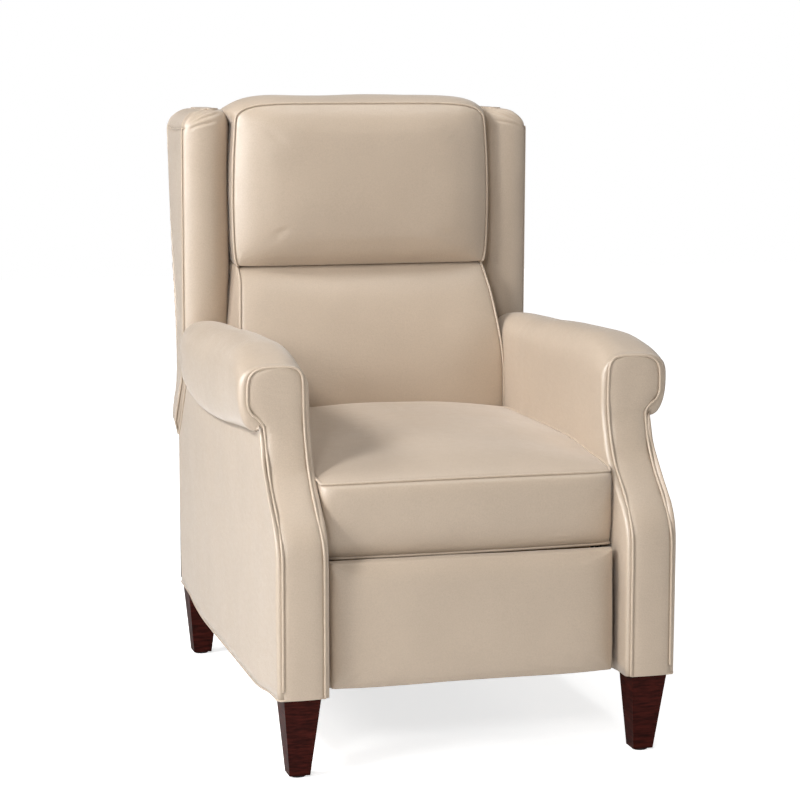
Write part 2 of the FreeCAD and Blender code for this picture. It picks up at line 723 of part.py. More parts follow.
BRACKET_ENDS = [BACK_LOW, ("bracket_high_y", "bracket_high_z"), BACK]


def make_back_brackets():
    bracket = link("BackBracket", 0, BRACKET_ENDS, [(BACK_LOW, FREE), (BACK, FREE)], "bracket_radius")
    both_sides(bracket, "back_bracket")


def make_footrest_brackets():
    bracket = new_body("FootrestBracket")
    sketch = new_sketch(bracket, "x", layer_inner(2))
    web_y = "rest_front_y + rest_pad_thick + rest_board_thick + soft_gap + link_thick + link_radius"
    draw_hull(sketch, [REST_LOW, (web_y, "rest_top_z - 47"), (web_y, "rest_low_z + 17")], "link_radius")
    for place in (REST_LOW, REST_HIGH):
        draw_circle(sketch, place, TIGHT)
    pad(bracket, sketch, "link_thick")
    flange_y = "rest_front_y + rest_pad_thick + rest_board_thick + soft_gap"
    pad_outline(bracket, "y", flange_y, "%s + link_thick" % flange_y,
                rectangle("%s - angle_width" % layer_outer(2), layer_outer(2),
                          "rest_low_z + 12", "rest_top_z - 42"))
    both_sides(bracket, "footrest_bracket")


# Seat frame

def make_seat_frame():
    low = "seat_top_z - seat_rail_height"
    inner_x = "(seat_outer_x - seat_rail_thick)"
    side = new_body("SeatSideRail")
    pad_outline(side, "z", low, "seat_top_z",
                rectangle(inner_x, "seat_outer_x", "seat_front_y", "seat_back_y"))
    both_sides(side, "seat_side_rail")
    ends = (("seat_front_rail", "seat_front_y", "seat_front_y + seat_rail_thick"),
            ("seat_rear_rail", "seat_back_y - seat_rail_thick", "seat_back_y"))
    for name, low_y, high_y in ends:
        rail = new_body("SeatRail")
        pad_outline(rail, "z", low, "seat_top_z", rectangle("-" + inner_x, inner_x, low_y, high_y))
        node(rail, name)
    deck = document.addObject("Part::Box", "SeatDeck")
    bind(deck, "Length", "2 * (flange_inner_x - soft_gap)")
    bind(deck, "Width", "seat_back_y - seat_front_y - 20")
    bind(deck, "Height", "link_thick")
    bind(deck, "Placement.Base.x", "-(flange_inner_x - soft_gap)")
    bind(deck, "Placement.Base.y", "seat_front_y + 20")
    bind(deck, "Placement.Base.z", "seat_top_z")
    node(deck, "seat_deck")


# Soft pieces, lofted across the chair from upright sections

def section_wire(x, runs):
    """Closed section at one x. Each run is (y, z), or (y, z, y, z) for an arc by its middle."""
    edges = []
    last = runs[-1][-2:]
    for run in runs:
        start = FreeCAD.Vector(x, last[0], last[1])
        end = FreeCAD.Vector(x, run[-2], run[-1])
        if len(run) == 4:
            edges.append(Part.Arc(start, FreeCAD.Vector(x, run[0], run[1]), end).toShape())
        else:
            edges.append(Part.LineSegment(start, end).toShape())
        last = run[-2:]
    return Part.Wire(edges)


def crossways_loft(name, half, section):
    """Loft across the chair. section(full, corner) gives the upright section.

    full is 1 in the middle and falls to 0 at the sides, corner rises to 1 near them.
    """
    shares = (-1.0, -0.95, -0.84, -0.66, -0.36, 0.0, 0.36, 0.66, 0.84, 0.95, 1.0)
    wires = []
    for share in shares:
        full, corner = 1 - abs(share) ** 3, abs(share) ** 8
        wires.append(section_wire(half * share, section(full, corner)))
    item = document.addObject("Part::Feature", name)
    item.Shape = Part.makeLoft(wires, True, False)
    return item


def make_seat_cushion():
    front = number("cushion_front_y")
    rear = number("cushion_rear_y")
    low = number("seat_top_z + link_thick + soft_gap")
    edge = number("cushion_edge_z")
    crown = number("cushion_crown_z")
    side = number("cushion_side_z")
    bulge = number("cushion_bulge")
    draw = number("cushion_draw_in")
    middle = (low + edge) / 2

    def section(full, corner):
        top = side + (crown - side) * full - draw * corner
        low_y, high_y = front + draw * (1 - full), rear - draw * (1 - full)
        low_z, high_z = low + 0.3 * draw * corner, edge - 0.8 * draw * corner
        back_z = top - 3 - 0.5 * draw * corner
        return [(low_y, low_z),
                (low_y - bulge * full - 0.5, middle, low_y, high_z),
                (low_y + 0.42 * (high_y - low_y), top, high_y, back_z),
                (high_y + 1.5, (low_z + back_z) / 2, high_y, low_z)]

    node(crossways_loft("SeatCushion", number("cushion_x"), section), "seat_cushion")


POST_HEAD_Z = "(wing_top_z - post_head_drop)"


def post_line(z):
    """Front of the back posts at a height, as a formula."""
    lean = "(post_head_y - post_foot_y) / (%s - post_foot_z)" % POST_HEAD_Z
    return "post_foot_y + (%s - post_foot_z) * %s" % (z, lean)


def post_front(z):
    return number(post_line(z))


def make_head_pillow():
    gap = number("soft_gap")
    seam_y = number("pillow_seam_y")
    low = number("pillow_low_z")
    seam_z = number("wing_top_z - pillow_seam_drop")
    top = number("wing_top_z + pillow_rise")
    rear = number("pillow_rear_y")
    head_z = number(POST_HEAD_Z) + gap
    head_y = number("post_head_y") - gap
    crown = number("pillow_crown")
    draw = number("pillow_draw_in")
    middle = (low + seam_z) / 2

    def section(full, corner):
        front = seam_y + draw * (1 - full)
        foot = low + 0.3 * draw * corner
        shoulder = seam_z - 1.2 * draw * corner
        peak = top - 12 - 2.4 * draw * corner
        return [(post_front(foot) - gap, foot),
                (front, foot),
                (front - crown * full - 1, middle, front, shoulder),
                (front + 22, (shoulder + peak) / 2 + 9, front + 82, peak),
                (rear - 46, peak + 4, rear, head_z + 12),
                (rear, head_z),
                (head_y, head_z)]

    node(crossways_loft("HeadPillow", number("pillow_x"), section), "head_pillow")


def make_lumbar_pad():
    gap = number("soft_gap")
    top_y, top_z = number("lumbar_top_y"), number("lumbar_top_z")
    mid_y, mid_z = number("lumbar_mid_y"), number("lumbar_mid_z")
    low = number("lumbar_low_z")
    crown = number("lumbar_crown")
    draw = number("pillow_draw_in")

    def section(full, corner):
        high = (top_y + draw * (1 - full), top_z - 0.3 * draw * corner)
        turn = (mid_y + draw * (1 - full), mid_z)
        foot = (mid_y + draw * (1 - full), low + 0.3 * draw * corner)
        swell = crown * (0.35 + 0.65 * full)
        return [(post_front(high[1]) - gap, high[1]),
                high,
                ((high[0] + turn[0]) / 2 - swell, (high[1] + turn[1]) / 2 - swell * 0.3) + turn,
                (foot[0] - 1.0 * full - 0.5, (turn[1] + foot[1]) / 2) + foot,
                (post_front(foot[1]) - gap, foot[1])]

    pad_solid = crossways_loft("LumbarLoft", number("lumbar_x"), section)
    notch = new_body("BracketNotch")
    sketch = new_sketch(notch, "x", layer_inner(0) + " - 1")
    draw_hull(sketch, BRACKET_ENDS, "bracket_radius + 2")
    pad(notch, sketch, "lumbar_x + 5 - (%s - 1)" % layer_inner(0))
    twin = document.addObject("Part::Mirroring", "BracketNotchTwin")
    twin.Source = notch
    twin.Normal = (1, 0, 0)
    notches = document.addObject("Part::Compound", "BracketNotches")
    notches.Links = [notch, twin]
    lumbar = document.addObject("Part::Cut", "LowerBackPad")
    lumbar.Base = pad_solid
    lumbar.Tool = notches
    node(lumbar, "lower_back_pad")


def make_footrest():
    front = number("rest_front_y")
    low, top = number("rest_low_z"), number("rest_top_z")
    thick = number("rest_pad_thick")
    crown = number("rest_crown")

    draw = number("rest_draw_in")

    def section(full, corner):
        face = front + draw * (1 - full)
        low_z, high_z = low + 0.4 * draw * corner, top - 0.4 * draw * corner
        return [(front + thick, low_z),
                (face, low_z),
                (face - crown * full - 0.5, (low + top) / 2, face, high_z),
                (front + thick, high_z)]

    node(crossways_loft("FootrestPad", number("rest_x"), section), "footrest_pad")
    board = document.addObject("Part::Box", "FootrestBoard")
    bind(board, "Length", "2 * rest_board_x")
    bind(board, "Width", "rest_board_thick")
    bind(board, "Height", "rest_top_z - rest_low_z - 2 * rest_board_inset")
    bind(board, "Placement.Base.x", "-rest_board_x")
    bind(board, "Placement.Base.y", "rest_front_y + rest_pad_thick + soft_gap")
    bind(board, "Placement.Base.z", "rest_low_z + rest_board_inset")
    node(board, "footrest_board")


# Wings, back frame and outside back

REAR_SLOPE = "((rear_y - back_knee_y) / (wing_top_z - back_panel_drop - back_knee_z))"


def back_rear(shift):
    """Rear line of the back from the top down to the tail, moved forwards by shift."""
    return [("rear_y - %s" % shift, "wing_top_z - back_panel_drop"),
            ("back_knee_y - %s" % shift, "back_knee_z"),
            ("back_tail_y - %s" % shift, "back_tail_z"),
            ("back_tail_y - %s" % shift, "back_tail_low_z")]


def make_wings():
    inside = "(back_panel_thick + soft_gap)"
    side = [("wing_front_y", "rear_lean_z + wing_gap + 5"),
            ("wing_front_y", "wing_top_z - wing_top_bend", "wing_top_bend", -1),
            ("wing_front_y + wing_top_bend", "wing_top_z"),
            ("rear_y - %s - wing_rear_bend" % inside, "wing_top_z", "wing_rear_bend + 1", -1),
            ("rear_y - %s" % inside, "wing_top_z - back_panel_drop")]
    side += back_rear(inside)[1:]
    side += [("arm_rear_y + wing_gap", "rear_turn_z + wing_gap")]
    plan = [("wing_inner_x + wing_round", "wing_front_y"),
            ("wing_outer_x - wing_round", "wing_front_y", "wing_round", 1),
            ("wing_outer_x", "wing_front_y + wing_round"),
            ("wing_outer_x", "rear_y"),
            ("wing_inner_x", "rear_y"),
            ("wing_inner_x", "wing_front_y + wing_round", "wing_round", 1)]
    face = [("wing_inner_x", "rear_turn_z - 10"),
            ("wing_outer_x", "rear_turn_z - 10"),
            ("wing_outer_x", "wing_top_z - wing_cap_bend", "wing_cap_bend", 1),
            ("wing_outer_x - wing_cap_bend", "wing_top_z"),
            ("wing_inner_x + wing_inner_bend", "wing_top_z", "wing_inner_bend", 1),
            ("wing_inner_x", "wing_top_z - wing_inner_bend")]
    views = (("x", "wing_inner_x", "wing_outer_x", side),
             ("z", "rear_turn_z - 10", "wing_top_z", plan),
             ("y", "wing_front_y", "rear_y", face))
    blocks = []
    for axis, low, high, corners in views:
        block = new_body("WingView")
        pad_outline(block, axis, low, high, corners)
        blocks.append(block)
    cheek = document.addObject("Part::MultiCommon", "WingCheek")
    cheek.Shapes = blocks
    spacer = document.addObject("Part::Box", "WingSpacer")
    bind(spacer, "Length", "wing_inner_x + 20 - (%s)" % layer_inner(0))
    bind(spacer, "Width", "spacer_depth")
    bind(spacer, "Height", "spacer_height")
    bind(spacer, "Placement.Base.x", layer_inner(0))
    bind(spacer, "Placement.Base.y", post_line("(spacer_z + spacer_height)"))
    bind(spacer, "Placement.Base.z", "spacer_z")
    wing = document.addObject("Part::MultiFuse", "Wing")
    wing.Shapes = [cheek, spacer]
    both_sides(wing, "wing")


def make_back_frame():
    outer = layer_inner(0)
    inner = "(%s - post_thick)" % outer
    inside = "(back_panel_thick + soft_gap)"
    head_rear = "rear_y - %s - (wing_top_z - back_panel_drop - %s) * %s" % (inside, POST_HEAD_Z, REAR_SLOPE)
    post = new_body("BackPost")
    pad_outline(post, "x", inner, outer, [
        ("post_foot_y", "post_foot_z"),
        ("post_head_y", POST_HEAD_Z),
        (head_rear, POST_HEAD_Z),
        ("back_knee_y - %s" % inside, "back_knee_z"),
        ("post_foot_y + post_foot_depth", "post_foot_z")])
    both_sides(post, "back_post")
    rails = (("back_top_rail", POST_HEAD_Z, "top_rail_depth"),
             ("back_middle_rail", "middle_rail_z", "middle_rail_depth"),
             ("back_bottom_rail", "bottom_rail_z", "bottom_rail_depth"))
    for name, high_z, depth in rails:
        rail = new_body("BackRail")
        front = post_line(high_z)
        pad_outline(rail, "x", "-" + inner, inner,
                    rectangle(front, "%s + %s" % (front, depth), "%s - back_rail_height" % high_z, high_z))
        node(rail, name)


def make_outside_back():
    panel = new_body("OutsideBack")
    corners = back_rear("0") + back_rear("back_panel_thick")[::-1]
    pad_outline(panel, "x", "-wing_outer_x", "wing_outer_x", corners)
    node(panel, "outside_back")


make_arms()
make_legs()
make_base_steel()
make_links()
make_seat_plates()
make_back_brackets()
make_footrest_brackets()
make_pins()
make_seat_frame()
make_seat_cushion()
make_head_pillow()
make_lumbar_pad()
make_footrest()
make_wings()
make_back_frame()
make_outside_back()
document.recompute()

for item in document.Objects:
    for state in ("Invalid", "Error"):
        if state in item.State:
            raise RuntimeError("%s (%s) is %s" % (item.Name, item.Label, state))
for item in NODES:
    shape = item.Shape
    if shape.isNull() or not shape.isValid():
        raise RuntimeError("%s has no valid shape" % item.Label)
for item in NODES:
    item.Shape.exportStep("parts/%s.step" % item.Label)
    box = item.Shape.BoundBox
    print("%-24s solids %d volume %.0f  x %.1f %.1f  y %.1f %.1f  z %.1f %.1f" % (
        item.Label, len(item.Shape.Solids), item.Shape.Volume,
        box.XMin, box.XMax, box.YMin, box.YMax, box.ZMin, box.ZMax))
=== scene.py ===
"""Looks of the wing-back recliner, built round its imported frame. Lengths are in millimetres until a mesh is made."""
import json
import math

import bmesh
import bpy
import numpy as np
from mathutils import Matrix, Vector, kdtree, noise


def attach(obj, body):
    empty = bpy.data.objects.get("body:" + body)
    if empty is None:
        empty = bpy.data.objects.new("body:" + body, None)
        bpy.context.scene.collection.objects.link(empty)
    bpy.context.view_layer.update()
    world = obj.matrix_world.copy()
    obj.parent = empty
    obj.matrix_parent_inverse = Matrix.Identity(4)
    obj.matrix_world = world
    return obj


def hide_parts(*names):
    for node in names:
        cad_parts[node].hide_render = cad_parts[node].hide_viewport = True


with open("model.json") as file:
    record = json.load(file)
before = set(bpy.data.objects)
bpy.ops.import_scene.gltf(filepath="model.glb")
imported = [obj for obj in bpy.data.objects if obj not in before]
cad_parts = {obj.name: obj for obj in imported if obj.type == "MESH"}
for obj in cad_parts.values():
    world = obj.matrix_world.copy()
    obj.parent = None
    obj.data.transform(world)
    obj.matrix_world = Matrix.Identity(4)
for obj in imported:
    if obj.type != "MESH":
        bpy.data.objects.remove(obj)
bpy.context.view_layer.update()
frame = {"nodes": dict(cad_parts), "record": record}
MM = 0.001
BOTH = (("right_", 1.0), ("left_", -1.0))
ROUNDED = 0.293  # a corner's middle moves in by this share of its radius when it is rounded
MIX_A, MIX_B, MIX_RESULT = 6, 7, 2  # the colour sockets of a mix node
CLOTH_FRAMES, CLOTH_STIFFNESS = 20, 12.0


# Curves and tables

def resample(path, count):
    """count points evenly spaced along a polyline."""
    steps = np.linalg.norm(np.diff(path, axis=0), axis=1)
    along = np.concatenate([[0.0], np.cumsum(steps)])
    places = np.linspace(0, along[-1], count)
    return np.stack([np.interp(places, along, path[:, k]) for k in range(path.shape[1])], 1)


def smooth(points, count):
    """count points along a smooth curve through the given ones."""
    p = np.array(points, float)
    p = np.vstack([2 * p[0] - p[1], p, 2 * p[-1] - p[-2]])
    t = np.linspace(0, 1, 13)[:-1, None]
    runs = []
    for i in range(1, len(p) - 2):
        a, b, c, d = p[i - 1:i + 3]
        runs.append(0.5 * (2 * b + (c - a) * t + (2 * a - 5 * b + 4 * c - d) * t ** 2
                           + (3 * b - a - 3 * c + d) * t ** 3))
    return resample(np.vstack(runs + [p[-2:-1]]), count)


def table(points):
    """Smooth function through (input, output) pairs."""
    curve = smooth(points, 240)
    return lambda x: np.interp(x, curve[:, 0], curve[:, 1])


def eased(count, ease=0.75):
    """0 to 1 with closer steps at both ends."""
    t = np.linspace(0, 1, count)
    return (1 - ease) * t + ease * (1 - np.cos(math.pi * t)) / 2


def dome(u, power):
    """1 in the middle of -1 to 1 and 0 at its ends, flatter with a higher power."""
    return 1 - np.abs(u) ** power


def rows_of(x, y, z):
    """Points from coordinates, of which some may be single numbers."""
    return np.stack(np.broadcast_arrays(x, y, z), 1)


def closed(loop):
    """A loop with its first point again at its end."""
    return np.vstack([loop, loop[:1]])


# Meshes

class Shell:
    """Collects grids, tubes and faces, and makes one smooth object of them."""

    def __init__(self):
        self.points, self.faces = [], []

    def add(self, points):
        """Adds points, and gives the number of the first."""
        first = len(self.points)
        self.points.extend(np.asarray(points, float).reshape(-1, 3))
        return first

    def grid(self, p):
        """Quads over rows of points."""
        n, m = p.shape[:2]
        first = self.add(p)
        for i in range(n - 1):
            for j in range(m - 1):
                a, b = first + i * m + j, first + (i + 1) * m + j
                self.faces.append((a, a + 1, b + 1, b))

    def fan(self, ring):
        """Triangles that fill a ring from its middle."""
        first = self.add(ring)
        middle = self.add([np.mean(ring, axis=0)])
        count = len(ring)
        for i in range(count):
            self.faces.append((first + i, first + (i + 1) % count, middle))

    def tube(self, path, radius, loop=False, sides=8):
        """Round cord along a path, with filled ends unless the path is a loop."""
        p = np.asarray(path, float)
        ahead = np.roll(p, -1, 0) - np.roll(p, 1, 0)
        if not loop:
            ahead[0], ahead[-1] = p[1] - p[0], p[-1] - p[-2]
        ahead /= np.linalg.norm(ahead, axis=1)[:, None]
        side = np.cross(ahead[0], (0.31, 0.52, 0.8))
        rings = []
        turns = np.linspace(0, 2 * math.pi, sides + 1)
        for point, along in zip(p, ahead):
            side = side - along * (side @ along)
            side /= np.linalg.norm(side)
            other = np.cross(along, side)
            rings.append([point + radius * (math.cos(a) * side + math.sin(a) * other) for a in turns])
        rings = np.array(rings)
        if loop:
            rings = np.concatenate([rings, rings[:1]])
        self.grid(rings)
        if not loop:
            self.fan(rings[0][:-1])
            self.fan(rings[-1][:-1])

    def make(self, name, material, body, weld=0.05):
        """Object with welded points and smooth shading, which moves with a body."""
        mesh = bpy.data.meshes.new(name)
        mesh.from_pydata([Vector(p) * MM for p in self.points], [], self.faces)
        item = bpy.data.objects.new(name, mesh)
        bpy.context.scene.collection.objects.link(item)
        work = bmesh.new()
        work.from_mesh(mesh)
        bmesh.ops.remove_doubles(work, verts=work.verts, dist=weld * MM)
        bmesh.ops.dissolve_degenerate(work, edges=work.edges, dist=0.01 * MM)
        bmesh.ops.recalc_face_normals(work, faces=work.faces)
        work.to_mesh(mesh)
        work.free()
        mesh.polygons.foreach_set("use_smooth", [True] * len(mesh.polygons))
        mesh.materials.append(material)
        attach(item, body)
        return item


def coordinates(item):
    """An object's vertices in metres, in rows."""
    co = np.zeros(len(item.data.vertices) * 3)
    item.data.vertices.foreach_get("co", co)
    return co.reshape(-1, 3)


def directions(item):
    """The outward normals of an object's vertices, in rows."""
    no = np.zeros(len(item.data.vertices) * 3)
    item.data.vertices.foreach_get("normal", no)
    return no.reshape(-1, 3)


def place(item, co):
    """Moves an object's vertices to new coordinates."""
    item.data.vertices.foreach_set("co", co.ravel())
    item.data.update()


def tree_of(points):
    """Search tree of points that are given in mm."""
    tree = kdtree.KDTree(len(points))
    for i, p in enumerate(points):
        tree.insert(Vector(p) * MM, i)
    tree.balance()
    return tree


def near_path(item, paths, reach):
    """Distance in mm of each vertex to the nearest path, or reach where it is further."""
    tree = tree_of(np.vstack([resample(np.asarray(p, float), max(2, int(len(p) * 2))) for p in paths]))
    gap = np.full(len(item.data.vertices), float(reach))
    for i, v in enumerate(item.data.vertices):
        gap[i] = min(reach, tree.find(v.co)[2] / MM)
    return gap


def far_from(item, paths, reach):
    """0 on the paths, rising to 1 at reach mm from them."""
    return np.clip(near_path(item, paths, reach) / reach, 0, 1)


def sew(item, paths, depth, width):
    """Draws the surface in along seams, and marks them for the material, which paints shade along them for the shadow
    in their creases.
    """
    gap = near_path(item, paths, 6 * width)
    pull = np.exp(-(gap / width) ** 2)
    place(item, coordinates(item) - directions(item) * (pull * depth * MM)[:, None])
    # painted shade: this mask makes the leather darker along the seams, standing in for the shadow in their creases
    painted_seam_shade = item.data.attributes.get("seam") or item.data.attributes.new("seam", "FLOAT", "POINT")
    painted_seam_shade.data.foreach_set("value", np.exp(-(gap / 4.0) ** 4).astype(np.float32))


def onto(item, path):
    """The nearest points of an object's surface to a path."""
    return np.array([item.closest_point_on_mesh(Vector(p) * MM)[1] for p in path]) / MM


def crimp(item, paths, depth, width):
    """Soft creases along paths, which fade out over a quarter of the length at each end."""
    co, no = coordinates(item), directions(item)
    steps = 60
    for path in paths:
        tree = tree_of(resample(onto(item, smooth(path, 24)), steps))
        for i, p in enumerate(co):
            _, k, gap = tree.find(Vector(p))
            if gap < 4 * width * MM:
                share = min(1.0, 4.0 * min(k + 1, steps - k) / steps)
                co[i] -= no[i] * depth * MM * share * math.exp(-(gap / MM / width) ** 2)
    place(item, co)


def ripple(item, size, height, seed, keep=None):
    """Soft unevenness of leather over padding."""
    co, no = coordinates(item), directions(item)
    shift = np.array([noise.noise(Vector(p) / (size * MM) + Vector((seed, 7.3, 1.9))) for p in co])
    if keep is not None:
        shift *= keep
    place(item, co + no * (shift * height * MM)[:, None])


def round_off(item, chosen, times):
    """Smooths the chosen vertices, which rounds the edges that they lie on."""
    work = bmesh.new()
    work.from_mesh(item.data)
    work.verts.ensure_lookup_table()
    verts = [v for v in work.verts if chosen(v.co / MM)]
    for _ in range(times):
        bmesh.ops.smooth_vert(work, verts=verts, factor=0.5, use_axis_x=True, use_axis_y=True, use_axis_z=True)
    work.to_mesh(item.data)
    work.free()
    item.data.update()


def inflate(item, held, pressure, cap):
    """Cloth simulation of a padded skin, held by the given shares, in which no point moves further than cap."""
    rest = coordinates(item)
    pin = item.vertex_groups.new(name="held")
    for i, hold in enumerate(held):
        if hold > 0.01:
            pin.add([i], float(hold), "REPLACE")
    cloth = item.modifiers.new("Cloth", "CLOTH")
    s = cloth.settings
    s.quality, s.mass, s.air_damping = 6, 0.25, 4.0
    s.tension_stiffness = s.compression_stiffness = CLOTH_STIFFNESS
    s.shear_stiffness, s.bending_stiffness = CLOTH_STIFFNESS * 0.6, 0.9
    s.use_pressure, s.uniform_pressure_force = True, pressure
    s.vertex_group_mass = "held"
    s.effector_weights.gravity = 0
    cloth.collision_settings.use_collision = False
    cloth.point_cache.frame_start, cloth.point_cache.frame_end = 1, CLOTH_FRAMES
    scene = bpy.context.scene
    for f in range(1, CLOTH_FRAMES + 1):
        scene.frame_set(f)
    shape = item.evaluated_get(bpy.context.evaluated_depsgraph_get())
    co = np.zeros(len(rest) * 3)
    shape.data.vertices.foreach_get("co", co)
    move = co.reshape(-1, 3) - rest
    length = np.linalg.norm(move, axis=1)
    move *= (np.tanh(length / (cap * MM)) * cap * MM / np.maximum(length, 1e-9))[:, None]
    item.modifiers.remove(cloth)
    scene.frame_set(1)
    place(item, rest + move)


def finer(item):
    """One level of subdivision."""
    mod = item.modifiers.new("Finer", "SUBSURF")
    mod.levels = mod.render_levels = 1


def rim(p):
    """Loop round a grid's border."""
    return np.concatenate([p[:, 0], p[-1, 1:], p[::-1, -1][1:], p[0, ::-1][1:-1]])


def boxed(shell, front, back, out, bulge, rows, lean=1.0):
    """Front and back panels joined by a band that swells outwards, nearer the front with a lean under 1.

    Gives the loops round the two panels.
    """
    shell.grid(front)
    shell.grid(back)
    a, b = rim(front), rim(back)
    bulge = np.broadcast_to(bulge, len(a))
    band = []
    for w in eased(rows, 0.6):
        swell = dome(2 * w ** lean - 1, 3.6)
        band.append(a + (b - a) * w + out * (bulge * swell)[:, None])
    band = np.array(band)
    shell.grid(np.concatenate([band, band[:, :1]], 1))
    return a, b


def outward(loop, axis):
    """Unit vectors that point out of a flat-ish loop, across the given axis."""
    ahead = np.roll(loop, -2, 0) - np.roll(loop, 2, 0)
    out = np.cross(ahead, axis)
    out /= np.maximum(np.linalg.norm(out, axis=1)[:, None], 1e-9)
    if np.mean(np.sum(out * (loop - loop.mean(0)), 1)) < 0:
        out = -out
    return out


# Materials

def new_material(name, colour, roughness, metallic=0.0):
    """Material with its nodes, links, shader and object coordinates."""
    m = bpy.data.materials.new(name)
    m.use_nodes = True
    nodes = m.node_tree.nodes
    shader = nodes["Principled BSDF"]
    shader.inputs["Base Color"].default_value = (*colour, 1)
    shader.inputs["Roughness"].default_value = roughness
    shader.inputs["Metallic"].default_value = metallic
    where = nodes.new("ShaderNodeTexCoord").outputs["Object"]
    return m, nodes, m.node_tree.links, shader, where


def texture(nodes, links, kind, where, scale, stretch=None, **settings):
    """Texture node, whose settings are inputs or properties."""
    if stretch:
        mapping = nodes.new("ShaderNodeMapping")
        mapping.inputs["Scale"].default_value = stretch
        links.new(where, mapping.inputs["Vector"])
        where = mapping.outputs["Vector"]
    t = nodes.new(kind)
    if "Scale" in t.inputs:
        t.inputs["Scale"].default_value = scale
    for key, value in settings.items():
        if key in t.inputs:
            t.inputs[key].default_value = value
        else:
            setattr(t, key, value)
    links.new(where, t.inputs["Vector"])
    return t


def ramp(nodes, links, source, stops):
    """Colours along a value, from (position, colour) stops."""
    r = nodes.new("ShaderNodeValToRGB")
    r.color_ramp.elements[0].position, r.color_ramp.elements[0].color = stops[0][0], (*stops[0][1], 1)
    r.color_ramp.elements[1].position, r.color_ramp.elements[1].color = stops[-1][0], (*stops[-1][1], 1)
    for position, colour in stops[1:-1]:
        r.color_ramp.elements.new(position).color = (*colour, 1)
    links.new(source, r.inputs["Fac"])
    return r.outputs["Color"]


def bump(nodes, links, height, distance, strength, after=None):
    """Bump from a height, on top of another bump if one is given."""
    b = nodes.new("ShaderNodeBump")
    b.inputs["Distance"].default_value = distance
    b.inputs["Strength"].default_value = strength
    links.new(height, b.inputs["Height"])
    if after:
        links.new(after, b.inputs["Normal"])
    return b.outputs["Normal"]


def leather(name, colour, seam_shade_colour, gleam=0.75):
    """Smooth hide with fine pores and soft folds, with painted shade along the seam attribute for the shadow in the
    seam creases.
    """
    m, nodes, links, shader, where = new_material(name, colour, 0.46)
    cloud = texture(nodes, links, "ShaderNodeTexNoise", where, 9.0, Detail=4.0, Roughness=0.55)
    light = tuple(min(1, c * 1.025) for c in colour)
    dark = tuple(c * 0.965 for c in colour)
    tone = ramp(nodes, links, cloud.outputs["Fac"], [(0.3, dark), (0.7, light)])
    pores = texture(nodes, links, "ShaderNodeTexVoronoi", where, 780.0, feature="DISTANCE_TO_EDGE")
    grain = texture(nodes, links, "ShaderNodeTexNoise", where, 420.0, Detail=5.0, Roughness=0.6)
    folds = texture(nodes, links, "ShaderNodeTexNoise", where, 55.0, stretch=(1.0, 1.0, 2.6), Detail=3.0)
    fleck = nodes.new("ShaderNodeMix")
    fleck.data_type, fleck.blend_type = "RGBA", "MULTIPLY"
    fleck.inputs["Factor"].default_value = 0.24
    links.new(tone, fleck.inputs[MIX_A])
    links.new(ramp(nodes, links, grain.outputs["Fac"], [(0.3, (0.62,) * 3), (0.62, (1,) * 3)]), fleck.inputs[MIX_B])
    # painted shade: near the seams the colour mixes 35 % towards the darker seam colour, for the shadow in their
    # creases
    seam = nodes.new("ShaderNodeAttribute")
    seam.attribute_name = "seam"
    edge = nodes.new("ShaderNodeMix")
    edge.data_type = "RGBA"
    edge.inputs[MIX_B].default_value = (*seam_shade_colour, 1)
    share = nodes.new("ShaderNodeMath")
    share.operation = "MULTIPLY"
    share.inputs[1].default_value = 0.35
    links.new(seam.outputs["Fac"], share.inputs[0])
    links.new(share.outputs[0], edge.inputs["Factor"])
    links.new(fleck.outputs[MIX_RESULT], edge.inputs[MIX_A])
    links.new(edge.outputs[MIX_RESULT], shader.inputs["Base Color"])
    rough = ramp(nodes, links, folds.outputs["Fac"], [(0.3, (0.42,) * 3), (0.75, (0.56,) * 3)])
    links.new(rough, shader.inputs["Roughness"])
    first = bump(nodes, links, pores.outputs["Distance"], 0.0005, 0.35)
    second = bump(nodes, links, grain.outputs["Fac"], 0.0008, 0.40, first)
    links.new(bump(nodes, links, folds.outputs["Fac"], 0.0022, 0.16, second), shader.inputs["Normal"])
    shader.inputs["Specular IOR Level"].default_value = gleam
    shader.inputs["Sheen Weight"].default_value = 0.30
    shader.inputs["Sheen Roughness"].default_value = 0.45
    return m


def wood(name, dark, light, roughness, stretch, gleam=0.5):
    """Grained wood. Its bands are drawn out along an axis whose stretch is under 1."""
    m, nodes, links, shader, where = new_material(name, dark, roughness)
    bands = texture(nodes, links, "ShaderNodeTexNoise", where, 34.0, stretch=stretch, Detail=6.0, Roughness=0.62)
    fibre = texture(nodes, links, "ShaderNodeTexNoise", where, 210.0, stretch=stretch, Detail=3.0)
    between = tuple((a + b) / 2 for a, b in zip(dark, light))
    links.new(ramp(nodes, links, bands.outputs["Fac"], [(0.34, dark), (0.52, between), (0.68, light)]),
              shader.inputs["Base Color"])
    first = bump(nodes, links, fibre.outputs["Fac"], 0.0004, 0.25)
    links.new(bump(nodes, links, bands.outputs["Fac"], 0.0008, 0.2, first), shader.inputs["Normal"])
    shader.inputs["Specular IOR Level"].default_value = gleam
    return m


def metal(name, colour, roughness, metallic, scale):
    """Even surface with fine grain in its roughness, for painted or bare metal and plastic."""
    m, nodes, links, shader, where = new_material(name, colour, roughness, metallic)
    grain = texture(nodes, links, "ShaderNodeTexNoise", where, scale, Detail=4.0)
    stops = [(0.35, (roughness * 0.8,) * 3), (0.65, (min(1, roughness * 1.25),) * 3)]
    links.new(ramp(nodes, links, grain.outputs["Fac"], stops), shader.inputs["Roughness"])
    links.new(bump(nodes, links, grain.outputs["Fac"], 0.0003, 0.2), shader.inputs["Normal"])
    return m


